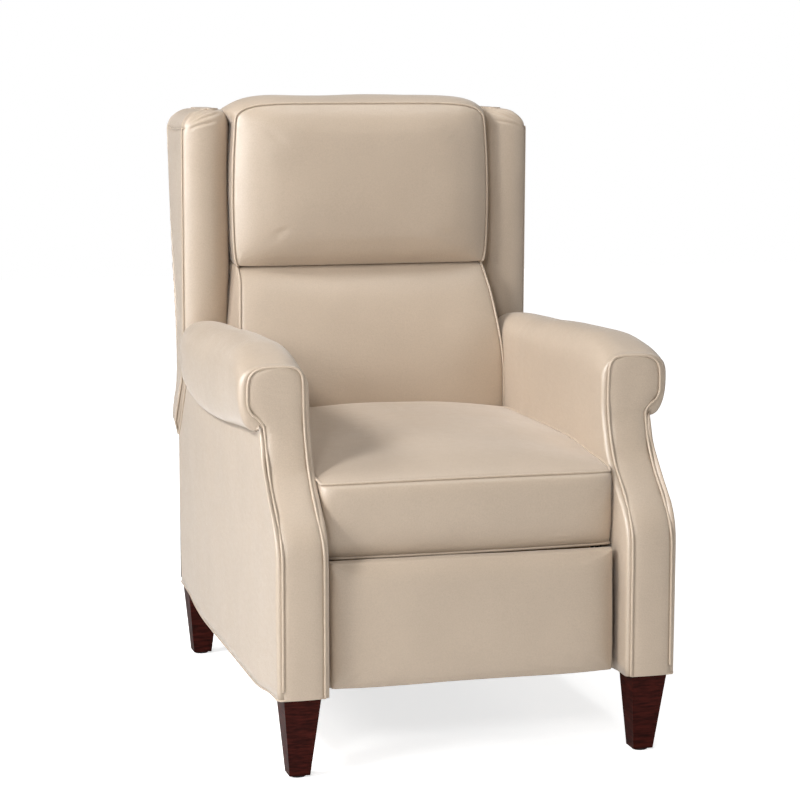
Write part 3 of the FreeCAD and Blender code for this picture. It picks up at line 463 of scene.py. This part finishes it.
def cloth(name, colour):
    """Plain woven cloth."""
    m, nodes, links, shader, where = new_material(name, colour, 0.9)
    warp = texture(nodes, links, "ShaderNodeTexWave", where, 260.0, bands_direction="X")
    weft = texture(nodes, links, "ShaderNodeTexWave", where, 260.0, bands_direction="Z")
    first = bump(nodes, links, warp.outputs["Fac"], 0.0004, 0.4)
    links.new(bump(nodes, links, weft.outputs["Fac"], 0.0004, 0.4, first), shader.inputs["Normal"])
    cloud = texture(nodes, links, "ShaderNodeTexNoise", where, 30.0, Detail=3.0)
    links.new(ramp(nodes, links, cloud.outputs["Fac"], [(0.3, colour), (0.7, tuple(c * 1.6 for c in colour))]),
              shader.inputs["Base Color"])
    return m


# the last colour of each leather is the painted shade along its seams
HIDE = leather("leather", (0.517, 0.412, 0.311), (0.23, 0.165, 0.112))
# painted highlight: the cords are a lighter copy of the hide, for the light that catches their round tops
LIGHTENED_CORD = leather("leather_cord_lightened", (0.560, 0.452, 0.345), (0.40, 0.30, 0.21), 0.4)
MAHOGANY = wood("mahogany", (0.016, 0.0026, 0.0018), (0.062, 0.0095, 0.0062), 0.46, (1.0, 1.0, 7.0), 0.06)
POPLAR = wood("poplar", (0.38, 0.26, 0.15), (0.58, 0.43, 0.28), 0.7, (1.0, 0.14, 1.0))
STEEL = metal("dark_steel", (0.035, 0.036, 0.040), 0.42, 0.6, 300.0)
PINS = metal("pin_steel", (0.55, 0.56, 0.58), 0.3, 1.0, 600.0)
CAMBRIC = cloth("cambric", (0.012, 0.011, 0.010))
PLASTIC = metal("glide_plastic", (0.02, 0.02, 0.02), 0.5, 0.0, 400.0)
SLOT_LOOKS = {"frame_wood": POPLAR, "leg_wood": MAHOGANY, "mechanism_steel": STEEL, "pin_steel": PINS,
              "cover_cloth": CAMBRIC, "glide_plastic": PLASTIC, "upholstery": HIDE}
for part in frame["record"]["subparts"]:
    item = frame["nodes"][part["node"]]
    item.data.materials.clear()
    item.data.materials.append(SLOT_LOOKS[part["material_slot"]])


# Arms: the right one's tables, with depth y, height z and distance x from the middle

front_y = table([(141, -510), (300, -510), (350, -510), (377, -507), (397, -499), (416, -486), (439, -461),
                 (469, -431), (500, -403), (529, -392), (550, -384), (565, -379), (590, -378), (720, -378)])
hem_z = table([(-510, 139), (-470, 139), (-430, 136), (-390, 130), (-330, 125.5), (-240, 126), (-80, 127),
               (66, 127), (150, 128), (216, 131), (270, 136), (310, 139), (425, 140)])
roll_top = table([(-380, 659), (-366, 665), (-345, 673), (-320, 681), (-290, 688), (-258, 692.5), (-200, 692.5),
                  (-60, 689), (17, 683.5), (100, 681), (180, 679), (240, 675), (300, 669)])
roll_outer = table([(-380, 371.5), (-350, 373.5), (-290, 371.5), (-200, 369), (0, 369), (130, 368), (210, 363),
                    (300, 349)])
roll_middle = table([(-380, 618), (-330, 624), (-200, 627), (150, 624), (300, 614)])
roll_under = table([(-380, 557), (-340, 556.5), (-297, 553), (-228, 548), (-138, 540), (-25, 534), (73, 534),
                    (150, 541), (220, 551), (300, 560)])
side_x = table([(-510, 339.5), (-200, 340.5), (100, 340.5), (220, 338.5), (320, 335), (380, 332.8), (414, 332),
                (425, 329.2)])
inner_x = table([(-510, 253.5), (0, 253.5), (60, 254.5), (180, 259), (300, 261), (425, 261)])
CREST = 305.0  # x of the roll's top
LOW_ROLL = 345.0  # x of the roll's lowest point
ROLL_END, SIDE_END = 291.0, 425.0  # y of the rear ends of the roll and of the side panel
WELT_MIDDLE, WELT_RISE = 615, 46.5  # z of the front welt's widest place on the roll, and its height above that
PANEL_TOP, PANEL_FOOT = 551, 139  # z of the ends of the front welt's outer side


def rear_y(z):
    """Depth of the arm's rear edge, which slants forwards behind the wing."""
    return np.interp(z, [0, 427, 577, 800], [SIDE_END, SIDE_END, ROLL_END, ROLL_END])


def out_roll_power(y):
    """Fullness of the roll's outer shoulder."""
    return np.interp(y, [-330, -220, -80, 20, 100], [3.2, 2.4, 2.0, 2.1, 2.3])


def power_arc(turn, exponent):
    """Quarter of a superellipse, squarer with a higher exponent."""
    return np.cos(turn) ** (2 / exponent), np.sin(turn) ** (2 / exponent)


def arm_rows():
    """Rows round the arm's section, from the inner hem over the roll to the outer hem."""
    rows = [("inner", f) for f in np.linspace(0, 1, 30)]
    rows += [("in_roll", a) for a in np.radians(np.linspace(0, 90, 15)[1:])]
    rows += [("out_roll", a) for a in np.radians(np.linspace(90, 0, 17)[1:])]
    rows += [("low_roll", a) for a in np.radians(np.linspace(0, 90, 15)[1:])]
    rows += [("tuck", f) for f in (0.35, 0.7)]
    rows += [("outer", f) for f in np.linspace(0, 1, 28)]
    return rows


def arm_body(row, y):
    """x and z of the arm's skin at depth y."""
    kind, a = row
    y = np.asarray(y, float)
    middle, top, outer, under, hem = roll_middle(y), roll_top(y), roll_outer(y), roll_under(y), hem_z(y)
    if kind == "inner":
        return inner_x(y), hem + a * (middle - hem)
    if kind == "in_roll":
        c, s = power_arc(a, 2.3)
        return CREST - (CREST - inner_x(y)) * c, middle + (top - middle) * s
    if kind == "out_roll":
        c, s = power_arc(a, out_roll_power(y))
        return CREST + (outer - CREST) * c, middle + (top - middle) * s
    if kind == "low_roll":
        c, s = power_arc(a, 2.15)
        return LOW_ROLL + (outer - LOW_ROLL) * c, middle - (middle - under) * s
    if kind == "tuck":
        return LOW_ROLL + (side_x(y) - LOW_ROLL) * a, under + 1.5 + 10 * a ** 2
    start = under + 12
    return side_x(y) + 1.6 * math.sin(math.pi * a), start + a * (hem - start)


inner_welt = table([(120, 262.2), (374, 262.3), (415, 264), (437, 264.8), (495, 264.3), (577, 264.6), (615, 265.2)])
outer_welt = table([(120, 331), (380, 330.8), (468, 331), (530, 330.4), (552, 331.3)])
NECK = smooth([(358.3, 615), (358.2, 606), (357.2, 597.5), (354.6, 590), (349.4, 583.8), (342.4, 578.8),
               (336.6, 573.8), (333.3, 568.5), (332.2, 563)], 91)


def arm_welt(row):
    """x and z of the welt round the arm's front."""
    kind, a = row
    if kind == "inner":
        z = PANEL_FOOT + a * (WELT_MIDDLE - PANEL_FOOT)
        return float(inner_welt(z)), z
    if kind == "in_roll":
        c, s = power_arc(a, 4.2)
        return CREST - 39.8 * c, WELT_MIDDLE + WELT_RISE * s
    if kind == "out_roll":
        c, s = power_arc(a, 3.6)
        return CREST + 53.3 * c, WELT_MIDDLE + WELT_RISE * s
    if kind == "low_roll":
        return tuple(NECK[int(round(math.degrees(a)))])
    if kind == "tuck":
        return 332.2 - 1.2 * a, 563 - 12 * a
    z = PANEL_TOP + a * (PANEL_FOOT - PANEL_TOP)
    return float(outer_welt(z)), z


def arm_line(row):
    """Line along the arm from the front welt, round the front edge and along the body to the rear edge."""
    x0, z0 = arm_welt(row)
    y0 = float(front_y(z0))
    on_roll = row[0] not in ("inner", "outer", "tuck")
    lip, heel = (13.0, 26.0) if on_roll else (9.0, 6.0)
    x1, z1 = arm_body(row, y0 + lip)
    y_end = float(rear_y(arm_body(row, ROLL_END if on_roll else SIDE_END)[1]))
    line = []
    for turn in np.radians(np.linspace(0, 90, 7)):
        s = math.sin(turn)
        line.append((x0 + (x1 - x0) * s, y0 + lip * (1 - math.cos(turn)), z0 + (z1 - z0) * s))
    for y in y0 + lip + (y_end - heel - y0 - lip) * eased(86, 0.35)[1:]:
        x, z = arm_body(row, y)
        line.append((float(x), y, float(z)))
    x2, y2, z2 = line[-1]
    tip = (310, 618) if on_roll else (300, z2)
    share = 0.36 if on_roll else 6.0 / 40
    for turn in np.radians(np.linspace(0, 90, 6)[1:]):
        drop = share * (1 - math.cos(turn))
        line.append((x2 + (tip[0] - x2) * drop, y2 + heel * math.sin(turn), z2 + (tip[1] - z2) * drop))
    return line


def between(starts, ends, count):
    """Rows of evenly spaced points from each start to its end."""
    return np.array([a + (b - a) * np.linspace(0, 1, count)[:, None] for a, b in zip(starts, ends)])


def arm_facing(inner, outer):
    """Slightly domed front panel, in level rows between the two sides of the welt."""
    across = eased(15, 0.5)
    rows = []
    for start in inner:
        x_end = np.interp(start[2], outer[:, 2], outer[:, 0])
        row = start + (np.array((x_end, start[1], start[2])) - start) * across[:, None]
        row[:, 1] -= 4.2 * dome(2 * across - 1, 3.0) * min(1, abs(x_end - start[0]) / 60)
        rows.append(row)
    return np.array(rows)


def make_arm(prefix, sign):
    rows = arm_rows()
    kinds = [kind for kind, _ in rows]
    lines = np.array([arm_line(row) for row in rows])
    welt = lines[:, 0]
    cover = Shell()
    cover.grid(lines)
    top = max(i for i, kind in enumerate(kinds) if kind == "in_roll")
    cover.grid(arm_facing(welt[:top + 1], welt[:top - 1:-1]))
    # rear strip, rear end of the roll and underside
    ends = lines[:, -1]
    n_in, n_out = kinds.count("inner"), kinds.count("outer")
    cover.grid(between(resample(ends[:n_in], 30), resample(ends[::-1][:n_out], 30), 7))
    cover.fan(ends[n_in - 1:len(rows) - n_out + 1])
    cover.grid(between(lines[0], lines[-1], 5))
    cover.points = [p * (sign, 1, 1) for p in cover.points]
    arm = cover.make(prefix + "arm_leather", HIDE, "base", weld=0.4)
    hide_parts(prefix + "arm")

    flip = np.array((sign, 1, 1))
    loop = smooth(welt[::3], 260)
    crease = lines[kinds.index("outer") - 1, 4:-6]
    back_edge = np.array([(side_x(rear_y(z)) + np.interp(z, [415, 435], [-1.8, 0.9]), rear_y(z) - 3.0, z)
                          for z in np.linspace(141, 556, 70)])
    inner_back = back_edge * (0, 1, 1) + (263, 0, 0)
    hem = np.array([(side_x(y), y, hem_z(y) + 0.6) for y in np.linspace(-500, 418, 90)])
    toe = np.array([(x, -510.3, 139.8) for x in np.linspace(263, 330, 12)])
    lip = np.vstack([toe, smooth([(330, -510.3, 139.8), (336, -508, 139.6), (339.5, -500, 139.6)], 6)[1:-1], hem])
    seams = [loop * flip, crease * flip, back_edge * flip, inner_back * flip]
    sew(arm, seams, 1.7, 3.6)
    away = far_from(arm, seams, 40)
    ripple(arm, 110, 1.2, 3.1 * sign + 5, away)
    ripple(arm, 40, 0.4, 8.1 * sign + 2, away)
    cords = Shell()
    cords.tube((loop - (0, 0.3, 0)) * flip, 2.3)
    cords.tube(crease * flip + (sign * 0.6, 0, -0.8), 2.1)
    cords.tube(back_edge * flip, 2.2)
    cords.tube(inner_back * flip, 2.0)
    cords.tube(lip * flip, 1.7)
    cords.make(prefix + "arm_welts", LIGHTENED_CORD, "base")


# Wings

wing_rear = table([(430, 426), (434, 431), (441, 445), (450, 460), (460, 472), (471, 474), (497, 459), (531, 435),
                   (565, 424), (657, 432), (773, 457), (889, 481), (1016, 499), (1068, 506)])
WING_TOP, WING_CAP = 1068.0, 1034  # z of the top, and of the seam round the cap


def wing_front(z):
    """Depth of the wing's front edge, which slants along the arm's rear edge at its foot."""
    return np.interp(z, [433, 583, 1100], [428, 298, 290])


def wing_section(z, count=210):
    """Closed plan section of the right wing, from the outer front seam round the nose and along the inner side."""
    def inset(radius):
        rise = max(0.0, z - (WING_TOP - radius))
        return radius - math.sqrt(max(0.0, radius ** 2 - rise ** 2))

    front, rear = wing_front(z) + inset(33), wing_rear(z) - inset(34)
    inner, outer = 244.0 + inset(14), np.interp(z, [434, 462], [333.5, 341.0]) - inset(42)
    depth = rear - front
    f = min(1.0, depth / 120)
    width = (outer - inner) / 95.5
    nose = [(outer - across * width, front + back * f) for across, back in (
        (0.5, 14), (4, 9.5), (11, 4.5), (20, 0.5), (31, -2), (43, -2.5), (54, -1), (64, 3), (73, 9), (81, 17),
        (87, 26), (91.5, 37), (94, 50))]
    side = [(inner, front + 0.6 * depth), (inner + 1, rear - 4 * f), (inner + 5, rear - 0.5),
            (inner + 0.5 * (outer - inner), rear), (outer - 10, rear - 0.5), (outer - 7.5, rear - 4 * f),
            (outer - 3.6, front + 0.6 * depth), (outer, front + 36 * f), (outer, front + 21 * f)]
    loop = resample(smooth(nose + side + nose[:1], 600), count + 1)[:-1]
    return np.column_stack([loop, np.full(count, z)])


WING_PLEATS = (
    ((333, 296, 1038), (328, 294, 1048), (306, 298, 1060), (280, 312, 1066), (262, 330, 1066)),
    ((328, 290, 1042), (308, 290, 1053), (285, 296, 1059), (264, 312, 1061)),
    ((331, 288, 1030), (317, 286, 1038), (292, 286, 1044), (270, 292, 1048)),
    ((320, 300, 1058), (300, 312, 1067), (280, 330, 1070)),
)


def make_wing(prefix, sign):
    flip = np.array((sign, 1, 1))
    heights = list(np.linspace(434, 500, 23)) + list(np.linspace(507, 1000, 72)) + list(np.linspace(1004, 1028, 9))
    heights += [WING_TOP - 39 + 41 * math.sin(math.radians(a)) for a in range(4, 91, 3)]
    rings = [wing_section(z) for z in heights]
    last = rings[-1]
    middle = last.mean(0)
    for share in (0.85, 0.6, 0.3, 0.1):
        ring = middle + (last - middle) * share
        ring[:, 2] = WING_TOP + 2 + 2.0 * (1 - share)
        rings.append(ring)
    rings = np.array(rings)
    shell = Shell()
    shell.grid(np.concatenate([rings, rings[:, :1]], 1))
    shell.fan(rings[-1])
    shell.fan(rings[0])
    shell.points = [p * flip for p in shell.points]
    wing = shell.make(prefix + "wing_leather", HIDE, "back")
    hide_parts(prefix + "wing")
    seam = np.array([wing_section(z)[0] for z in np.linspace(445, WING_CAP, 110)])
    cap = [(338, y, WING_CAP - 4 * math.sin((y - 290) / 210 * math.pi))
           for y in np.linspace(wing_front(WING_CAP) + 9, wing_rear(WING_CAP) - 16, 40)]
    cap = onto(wing, cap * flip) * flip
    rise = np.array([wing_section(z)[0] for z in np.linspace(WING_CAP, 1060, 14)])
    sew(wing, [seam * flip, cap * flip, rise * flip], 2.4, 3.6)
    crimp(wing, [np.array(path) * flip for path in WING_PLEATS], 3.2, 2.6)
    ripple(wing, 110, 2.0, 4.7 * sign + 1, far_from(wing, [seam * flip, cap * flip], 40))
    cords = Shell()
    cords.tube(seam * flip + (-sign * 0.7, 0.6, 0), 1.3)
    cords.tube(cap * flip + (-sign * 0.7, 0, 0), 1.2)
    cords.make(prefix + "wing_seams", LIGHTENED_CORD, "back")


# Outside back

def make_outside_back():
    line = smooth([(505, 1049), (513, 1040), (513, 1016), (495, 889), (470, 773), (445, 657), (437, 580),
                   (440, 550), (452, 524), (473, 497), (487, 477), (488, 466), (484, 458)], 110)
    across = 2 * eased(60, 0.35) - 1
    front, back = [], []
    normal = np.gradient(line, axis=0)
    normal = np.stack([-normal[:, 1], normal[:, 0]], 1)
    normal /= np.linalg.norm(normal, axis=1)[:, None]
    if normal[40, 0] < 0:
        normal = -normal
    for (y, z), n, share in zip(line, normal, np.linspace(-1, 1, len(line))):
        puff = 5.0 * dome(across, 4) * dome(share, 6)
        half = np.interp(z, [1012, 1028, 1040, 1050], [330, 327, 320, 309])
        front.append(rows_of(across * half, y - 2 + n[0] * puff, z + n[1] * puff))
        back.append(rows_of(across * half, y - 12, z - 1))
    front, back = np.array(front), np.array(back)
    shell = Shell()
    boxed(shell, front, back, outward(rim(front), (0, 1, 0)), 1.5, 5)
    panel = shell.make("outside_back_leather", HIDE, "back")
    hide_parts("outside_back")
    sides = [front[:, 0], front[:, -1], front[0]]
    sew(panel, sides, 1.2, 4.0)
    ripple(panel, 130, 3.0, 21, far_from(panel, sides, 50))
    cords = Shell()
    cords.tube(np.vstack([front[::-1, 0], front[0, 1:], front[1:, -1]]) + (0, 1.0, 0), 2.3)
    cords.make("outside_back_welt", LIGHTENED_CORD, "back")


def make_rear_cover():
    """Stretched cloth that closes the base behind: a panel below the reclining back, and a strip up each arm."""
    shell = Shell()
    middle, radius = 425.5, 4.5
    for x0, x1, z0, z1 in ((-331.5, 331.5, 147, 370), (257, 331.5, 352, 429.5), (-331.5, -257, 352, 429.5)):
        rows = []
        for a in np.radians(np.linspace(0, 180, 13)):
            out, y = radius * (1 - math.sin(a)), middle - radius * math.cos(a)
            x2, x3, z2, z3 = x0 + out, x1 - out, z0 + out, z1 - out
            corners = np.array([(x2, y, z2), (x3, y, z2), (x3, y, z3), (x2, y, z3), (x2, y, z2)])
            rows.append(np.vstack([corners[i] + (corners[i + 1] - corners[i]) * np.linspace(0, 1, 41)[:-1, None]
                                   for i in range(4)] + [corners[4:]]))
        shell.grid(np.array(rows))
        left, low = x0 + radius, z0 + radius
        width, height = x1 - x0 - 2 * radius, z1 - z0 - 2 * radius
        across, up = np.linspace(left, x1 - radius, 41), np.linspace(low, z1 - radius, 31)
        sag = 1.5 if width > 400 else 0.0
        for y, inwards in ((middle - radius, sag), (middle + radius, -sag)):
            shell.grid(np.array([[(x, y + inwards * dome(2 * (x - left) / width - 1, 4)
                                   * dome(2 * (z - low) / height - 1, 4), z) for x in across] for z in up]))
    cover = shell.make("rear_cover_cloth", CAMBRIC, "base", weld=0.2)
    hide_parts("rear_cover", "right_rear_strip", "left_rear_strip")


# Cushions

def held_at(pad, seams):
    """How firmly each vertex is held in the cloth simulation: 1 on the seams, fading within some 8 mm."""
    return np.exp(-(near_path(pad, seams, 20) / 4.0) ** 2)


def post_front(z):
    """Depth of the back posts' front faces, which lean backwards."""
    return 334 + (z - 425) * (424 - 334) / (1038 - 425) - 0.3


def seat_cushion():
    u, v = 2 * eased(84, 0.5) - 1, eased(92, 0.45)
    side_z = table([(-445, 473.5), (-431, 475.5), (-419, 479.5), (-380, 485), (-330, 489.5), (-270, 497), (-204, 502),
                    (-71, 504), (144, 502), (175, 498)])
    middle_z = table([(-445, 476), (-436, 477), (-425, 485), (-405, 493), (-370, 501), (-330, 507), (-204, 517),
                      (-71, 523), (60, 525), (140, 523), (172, 512)])
    top, low = [], []
    for s in v:
        y = -437 + s * 609
        wide = 253 + 3.0 * max(0.0, (y + 20) / 192)
        x = u * (wide - ROUNDED * 13 * np.abs(2 * s - 1) ** 30 * np.abs(u) ** 3)
        pull = ROUNDED * 16 * np.abs(u) ** 24 * np.abs(2 * s - 1) ** 3
        y = y - np.sign(2 * s - 1) * pull
        z = side_z(y) + (middle_z(y) - side_z(y)) * dome(u, 2.6)
        bow = -5.0 * dome(u, 2.5) * (1 - s) ** 6
        top.append(rows_of(x, y + bow, z))
        low.append(rows_of(x, y + bow, 351.6 - 0.7 * dome(u, 2) * (1 - s) ** 3))
    top, low = np.array(top), np.array(low)
    shell = Shell()
    loop = rim(top)
    out = outward(loop, (0, 0, 1))
    swell = 0.6 + 13 * np.clip(-out[:, 1], 0, 1) ** 2 * dome(np.clip(loop[:, 0] / 256, -1, 1), 24)
    edge, foot = boxed(shell, top, low, out, swell, 17, lean=0.6)
    pad = shell.make("seat_cushion_leather", HIDE, "seat")
    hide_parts("seat_cushion")
    co = coordinates(pad)
    held = np.maximum(held_at(pad, [edge, foot]), (co[:, 2] < 0.352) * 1.0)
    held = np.maximum(held, np.clip((np.abs(co[:, 0]) - 0.248) / 0.003, 0, 1))
    inflate(pad, held, 2.0, 3.0)
    seams = [closed(edge), closed(foot)]
    sew(pad, seams, 2.0, 3.8)
    ripple(pad, 120, 3.0, 11, far_from(pad, seams, 50))
    finer(pad)
    cords = Shell()
    for seam, shift in zip(seams, (-0.3, 0.4)):
        cords.tube(resample(seam, 420)[:-1] + (0, 0, shift), 2.2, loop=True)
    cords.make("seat_cushion_welts", LIGHTENED_CORD, "seat")


def head_pillow():
    u, v = 2 * eased(70, 0.5) - 1, eased(72, 0.5)
    half = table([(760, 245), (787, 247), (830, 249.6), (903, 250.8), (969, 249.2), (1000, 247.5), (1041, 245),
                  (1080, 243)])
    front, back = [], []
    for s in v:
        z = 773 + s * 296
        c = 2 * s - 1
        near_end = max(c, 0) ** 22 * 18 + max(-c, 0) ** 22 * 9
        x = u * half(z) - np.sign(u) * ROUNDED * near_end * np.abs(u) ** 4
        draw = (ROUNDED * 24 if c > 0 else -ROUNDED * 9) * np.abs(u) ** 20 * abs(c) ** 4
        y = 270 - 29 * dome(u, 8) * dome(c, 8) - 5 * dome(u, 2) * dome(c, 2)
        arch = 11.0 * dome(u, 6) * s ** 6
        front.append(rows_of(x, y, z - draw + arch))
        # the back follows the posts, then passes over the top rail to the outside back
        rear = np.interp(s, [0, 0.80, 0.93, 1], [post_front(785), 423.5, 472, 490.5])
        height = np.interp(s, [0, 0.80, 0.93, 1], [778, 1038.4, 1038.4, 1052])
        back.append(rows_of(x * 0.974, rear, height - 0.6 * draw))
    front, back = np.array(front), np.array(back)
    loop = rim(front)
    out = outward(loop, (0, 1, 0))
    upper = np.clip((loop[:, 2] - 1045) / 14, 0, 1)
    along = np.abs(loop[:, 0]) / 241
    swell = upper * 24 * (1 - 0.22 * along ** 9) - (1 - upper) * 0.5
    swell = np.where(loop[:, 2] < 778, 0.5, swell)
    shell = Shell()
    edge, _ = boxed(shell, front, back, out, swell, 26)
    pad = shell.make("head_pillow_leather", HIDE, "back")
    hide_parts("head_pillow")
    ring = closed(edge)
    co = coordinates(pad)
    held = np.maximum(held_at(pad, [ring]), (co[:, 1] > post_front(co[:, 2] / MM) * MM - 0.002) * 1.0)
    held = np.maximum(held, (np.abs(co[:, 0]) > 0.2395) * (co[:, 1] > 0.274) * 1.0)
    inflate(pad, held, 3.0, 1.3)
    around = edge[:len(v) * 2 + len(u) - 2]
    sew(pad, [around], 2.0, 3.8)
    ripple(pad, 110, 2.6, 31, far_from(pad, [ring], 50))
    finer(pad)
    curl = np.array([(14, 26, 1), (6, 12, -1.5), (1.5, 4, -1.5)])  # takes the welt's ends in under the pillow
    around = np.vstack([around[0] + curl, around, around[-1] + curl[::-1] * (-1, 1, 1)])
    cords = Shell()
    cords.tube(resample(around, 420) + (0, 0.2, 0), 2.1)
    cords.make("head_pillow_welt", LIGHTENED_CORD, "back")


def lower_back():
    u, v = 2 * eased(66, 0.5) - 1, eased(66, 0.4)
    face = smooth([(300, 778), (272, 769), (245, 743), (222, 705), (197, 648), (184.5, 600), (181, 560), (180.5, 510),
                   (181, 405)], 200)
    half = table([(400, 258.5), (560, 258.5), (610, 256.5), (656, 252.5), (720, 246), (745, 242.5), (780, 241)])
    front, back = [], []
    for s in v:
        y, z = face[int(round((len(face) - 1) * (1 - s)))]
        c = 2 * s - 1
        crown = 14 * dome(u, 7) * (0.25 + 0.75 * dome(c, 8)) * dome(max(c, 0), 8)
        x = u * half(z) - np.sign(u) * ROUNDED * 12 * max(c, 0) ** 20 * np.abs(u) ** 4
        front.append(rows_of(x, y - 0.93 * crown, z - 0.3 * crown - 3 * np.abs(u) ** 16 * max(c, 0) ** 4))
        back.append(rows_of(x, post_front(z), z))
    front, back = np.array(front), np.array(back)
    back[:, :, 2] = np.clip(back[:, :, 2], 405, 781)
    shell = Shell()
    edge, _ = boxed(shell, front, back, outward(rim(front), (0, 1, 0)), 1.5, 17)
    pad = shell.make("lower_back_leather", HIDE, "back")
    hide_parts("lower_back_pad")
    ring = closed(edge)
    co = coordinates(pad)
    held = np.maximum(held_at(pad, [ring]), (co[:, 1] > post_front(co[:, 2] / MM) * MM - 0.002) * 1.0)
    inflate(pad, held, 2.0, 3.0)
    line = [side[side[:, 2] < 776] for side in (front[:, 0], front[:, -1])]
    sew(pad, line, 2.0, 3.8)
    ripple(pad, 120, 2.6, 41, far_from(pad, [ring], 50))
    finer(pad)
    cords = Shell()
    for side in line:
        cords.tube(resample(side, 160) + (0, 0.2, 0), 2.1)
    cords.make("lower_back_welt", LIGHTENED_CORD, "back")


def footrest_pad():
    u, v = 2 * eased(70, 0.6) - 1, eased(40, 0.6)
    front, back = [], []
    for s in v:
        c = 2 * s - 1
        z = 142.0 + 208.5 * s
        y = -471 - 16 * dome(u, 9) * (dome(c, 6) if c > 0 else 0.5 + 0.5 * dome(c, 4))
        front.append(rows_of(u * 244, y, z))
        back.append(rows_of(u * 244, -450.2, z))
    front, back = np.array(front), np.array(back)
    shell = Shell()
    boxed(shell, front, back, outward(rim(front), (0, 1, 0)), 1.0, 9)
    pad = shell.make("footrest_leather", HIDE, "footrest")
    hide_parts("footrest_pad")
    round_off(pad, lambda p: p[1] < -460 and (abs(p[0]) > 238 or p[2] < 152 or p[2] > 339), 5)
    held = np.clip((coordinates(pad)[:, 1] + 0.462) / 0.006, 0, 1)
    inflate(pad, held, 2.0, 1.2)
    ripple(pad, 120, 2.0, 51)
    finer(pad)


for prefix, sign in BOTH:
    make_arm(prefix, sign)
    make_wing(prefix, sign)
make_outside_back()
make_rear_cover()
seat_cushion()
head_pillow()
lower_back()
footrest_pad()


# Camera, floor and light

CAMERA_PLACE = (-1116.8, -4080.9, 1134.1)
CAMERA_YAW, CAMERA_PITCH = math.radians(15.334), math.radians(7.913)
FOCAL_PIXELS, PICTURE_PIXELS, SENSOR = 2344.37, 800, 36.0
LAMPS = (  # name, place, aim, diameter, watts
    ("left_high", (-3.1, 0.2, 3.2), (0, 0, 0.6), 1.0, 62),
    ("left_middle", (-3.0, -1.4, 3.0), (0, 0, 0.6), 0.8, 66),
    ("left_front", (-3.3, -2.2, 1.9), (0, 0, 0.6), 0.9, 48),
    ("front", (-1.9, -3.8, 2.3), (0, 0, 0.6), 0.8, 44),
    ("top", (0.6, 0.0, 3.9), (0, 0, 0.6), 1.5, 36),
    ("low_front", (0.3, -4.5, 0.5), (0, 0, 0.4), 1.6, 12),
    ("right", (3.4, -2.2, 1.6), (0, 0, 0.5), 2.0, 20),
)


def make_camera():
    """The photo's camera, as fitted to it."""
    scene = bpy.context.scene
    ahead = Vector((math.sin(CAMERA_YAW) * math.cos(CAMERA_PITCH), math.cos(CAMERA_YAW) * math.cos(CAMERA_PITCH),
                    -math.sin(CAMERA_PITCH)))
    data = bpy.data.cameras.new("camera")
    data.sensor_width, data.lens = SENSOR, FOCAL_PIXELS / PICTURE_PIXELS * SENSOR
    data.clip_end = 60
    camera = bpy.data.objects.new("camera", data)
    camera.location = Vector(CAMERA_PLACE) * MM
    camera.rotation_mode = "QUATERNION"
    camera.rotation_quaternion = ahead.to_track_quat("-Z", "Y")
    scene.collection.objects.link(camera)
    scene.camera = camera
    scene.view_settings.view_transform = "Standard"


def make_floor():
    """Pale floor that keeps the shadow, and glows to white for the camera away from the chair."""
    mesh = bpy.data.meshes.new("floor")
    mesh.from_pydata([(-9, -9, 0), (9, -9, 0), (9, 9, 0), (-9, 9, 0)], [], [(0, 1, 2, 3)])
    ground = bpy.data.objects.new("floor", mesh)
    bpy.context.scene.collection.objects.link(ground)
    m, nodes, links, shader, where = new_material("pale_floor", (0.90, 0.90, 0.90), 0.9)
    shader.inputs["Specular IOR Level"].default_value = 0.0
    mesh.materials.append(m)
    ray, glow = nodes.new("ShaderNodeLightPath"), nodes.new("ShaderNodeMath")
    glow.operation = "MULTIPLY"
    near = texture(nodes, links, "ShaderNodeTexGradient", where, 1.0, stretch=(0.25, 0.25, 0.25),
                   gradient_type="SPHERICAL")
    links.new(ray.outputs["Is Camera Ray"], glow.inputs[0])
    links.new(ramp(nodes, links, near.outputs["Fac"], [(0.0, (1.0,) * 3), (0.6, (0.76,) * 3), (1.0, (0.72,) * 3)]),
              glow.inputs[1])
    shader.inputs["Emission Color"].default_value = (1, 1, 1, 1)
    links.new(glow.outputs[0], shader.inputs["Emission Strength"])


def make_world():
    """White to the camera, and a dim even light on the chair."""
    world = bpy.data.worlds.new("studio")
    bpy.context.scene.world = world
    world.use_nodes = True
    nodes, links = world.node_tree.nodes, world.node_tree.links
    nodes.clear()
    ray = nodes.new("ShaderNodeLightPath")
    dim, white, mix, out = (nodes.new(k) for k in ("ShaderNodeBackground", "ShaderNodeBackground",
                                                   "ShaderNodeMixShader", "ShaderNodeOutputWorld"))
    for light, strength in ((dim, 0.10), (white, 1.0)):
        light.inputs["Color"].default_value = (1, 1, 1, 1)
        light.inputs["Strength"].default_value = strength
    seen = nodes.new("ShaderNodeMath")
    seen.operation = "MAXIMUM"
    links.new(ray.outputs["Is Camera Ray"], seen.inputs[0])
    links.new(ray.outputs["Is Transmission Ray"], seen.inputs[1])
    links.new(seen.outputs[0], mix.inputs["Fac"])
    links.new(dim.outputs[0], mix.inputs[1])
    links.new(white.outputs[0], mix.inputs[2])
    links.new(mix.outputs[0], out.inputs["Surface"])


def lamp(name, where, towards, size, power, height=0.0):
    """Area lamp, round unless it has a height."""
    data = bpy.data.lights.new(name, "AREA")
    data.shape, data.size, data.energy = "RECTANGLE" if height else "DISK", size, power
    if height:
        data.size_y = height
    item = bpy.data.objects.new(name, data)
    item.location = where
    item.rotation_mode = "QUATERNION"
    item.rotation_quaternion = (Vector(towards) - Vector(where)).to_track_quat("-Z", "Y")
    bpy.context.scene.collection.objects.link(item)
    return item


make_camera()
make_floor()
make_world()
for row in LAMPS:
    lamp(*row)
gloss = lamp("gloss", (-3.6, -0.9, 1.7), (0, 0.1, 0.7), 1.2, 210, height=1.6)
gloss.visible_diffuse = False  # it only gives the leather its sheen
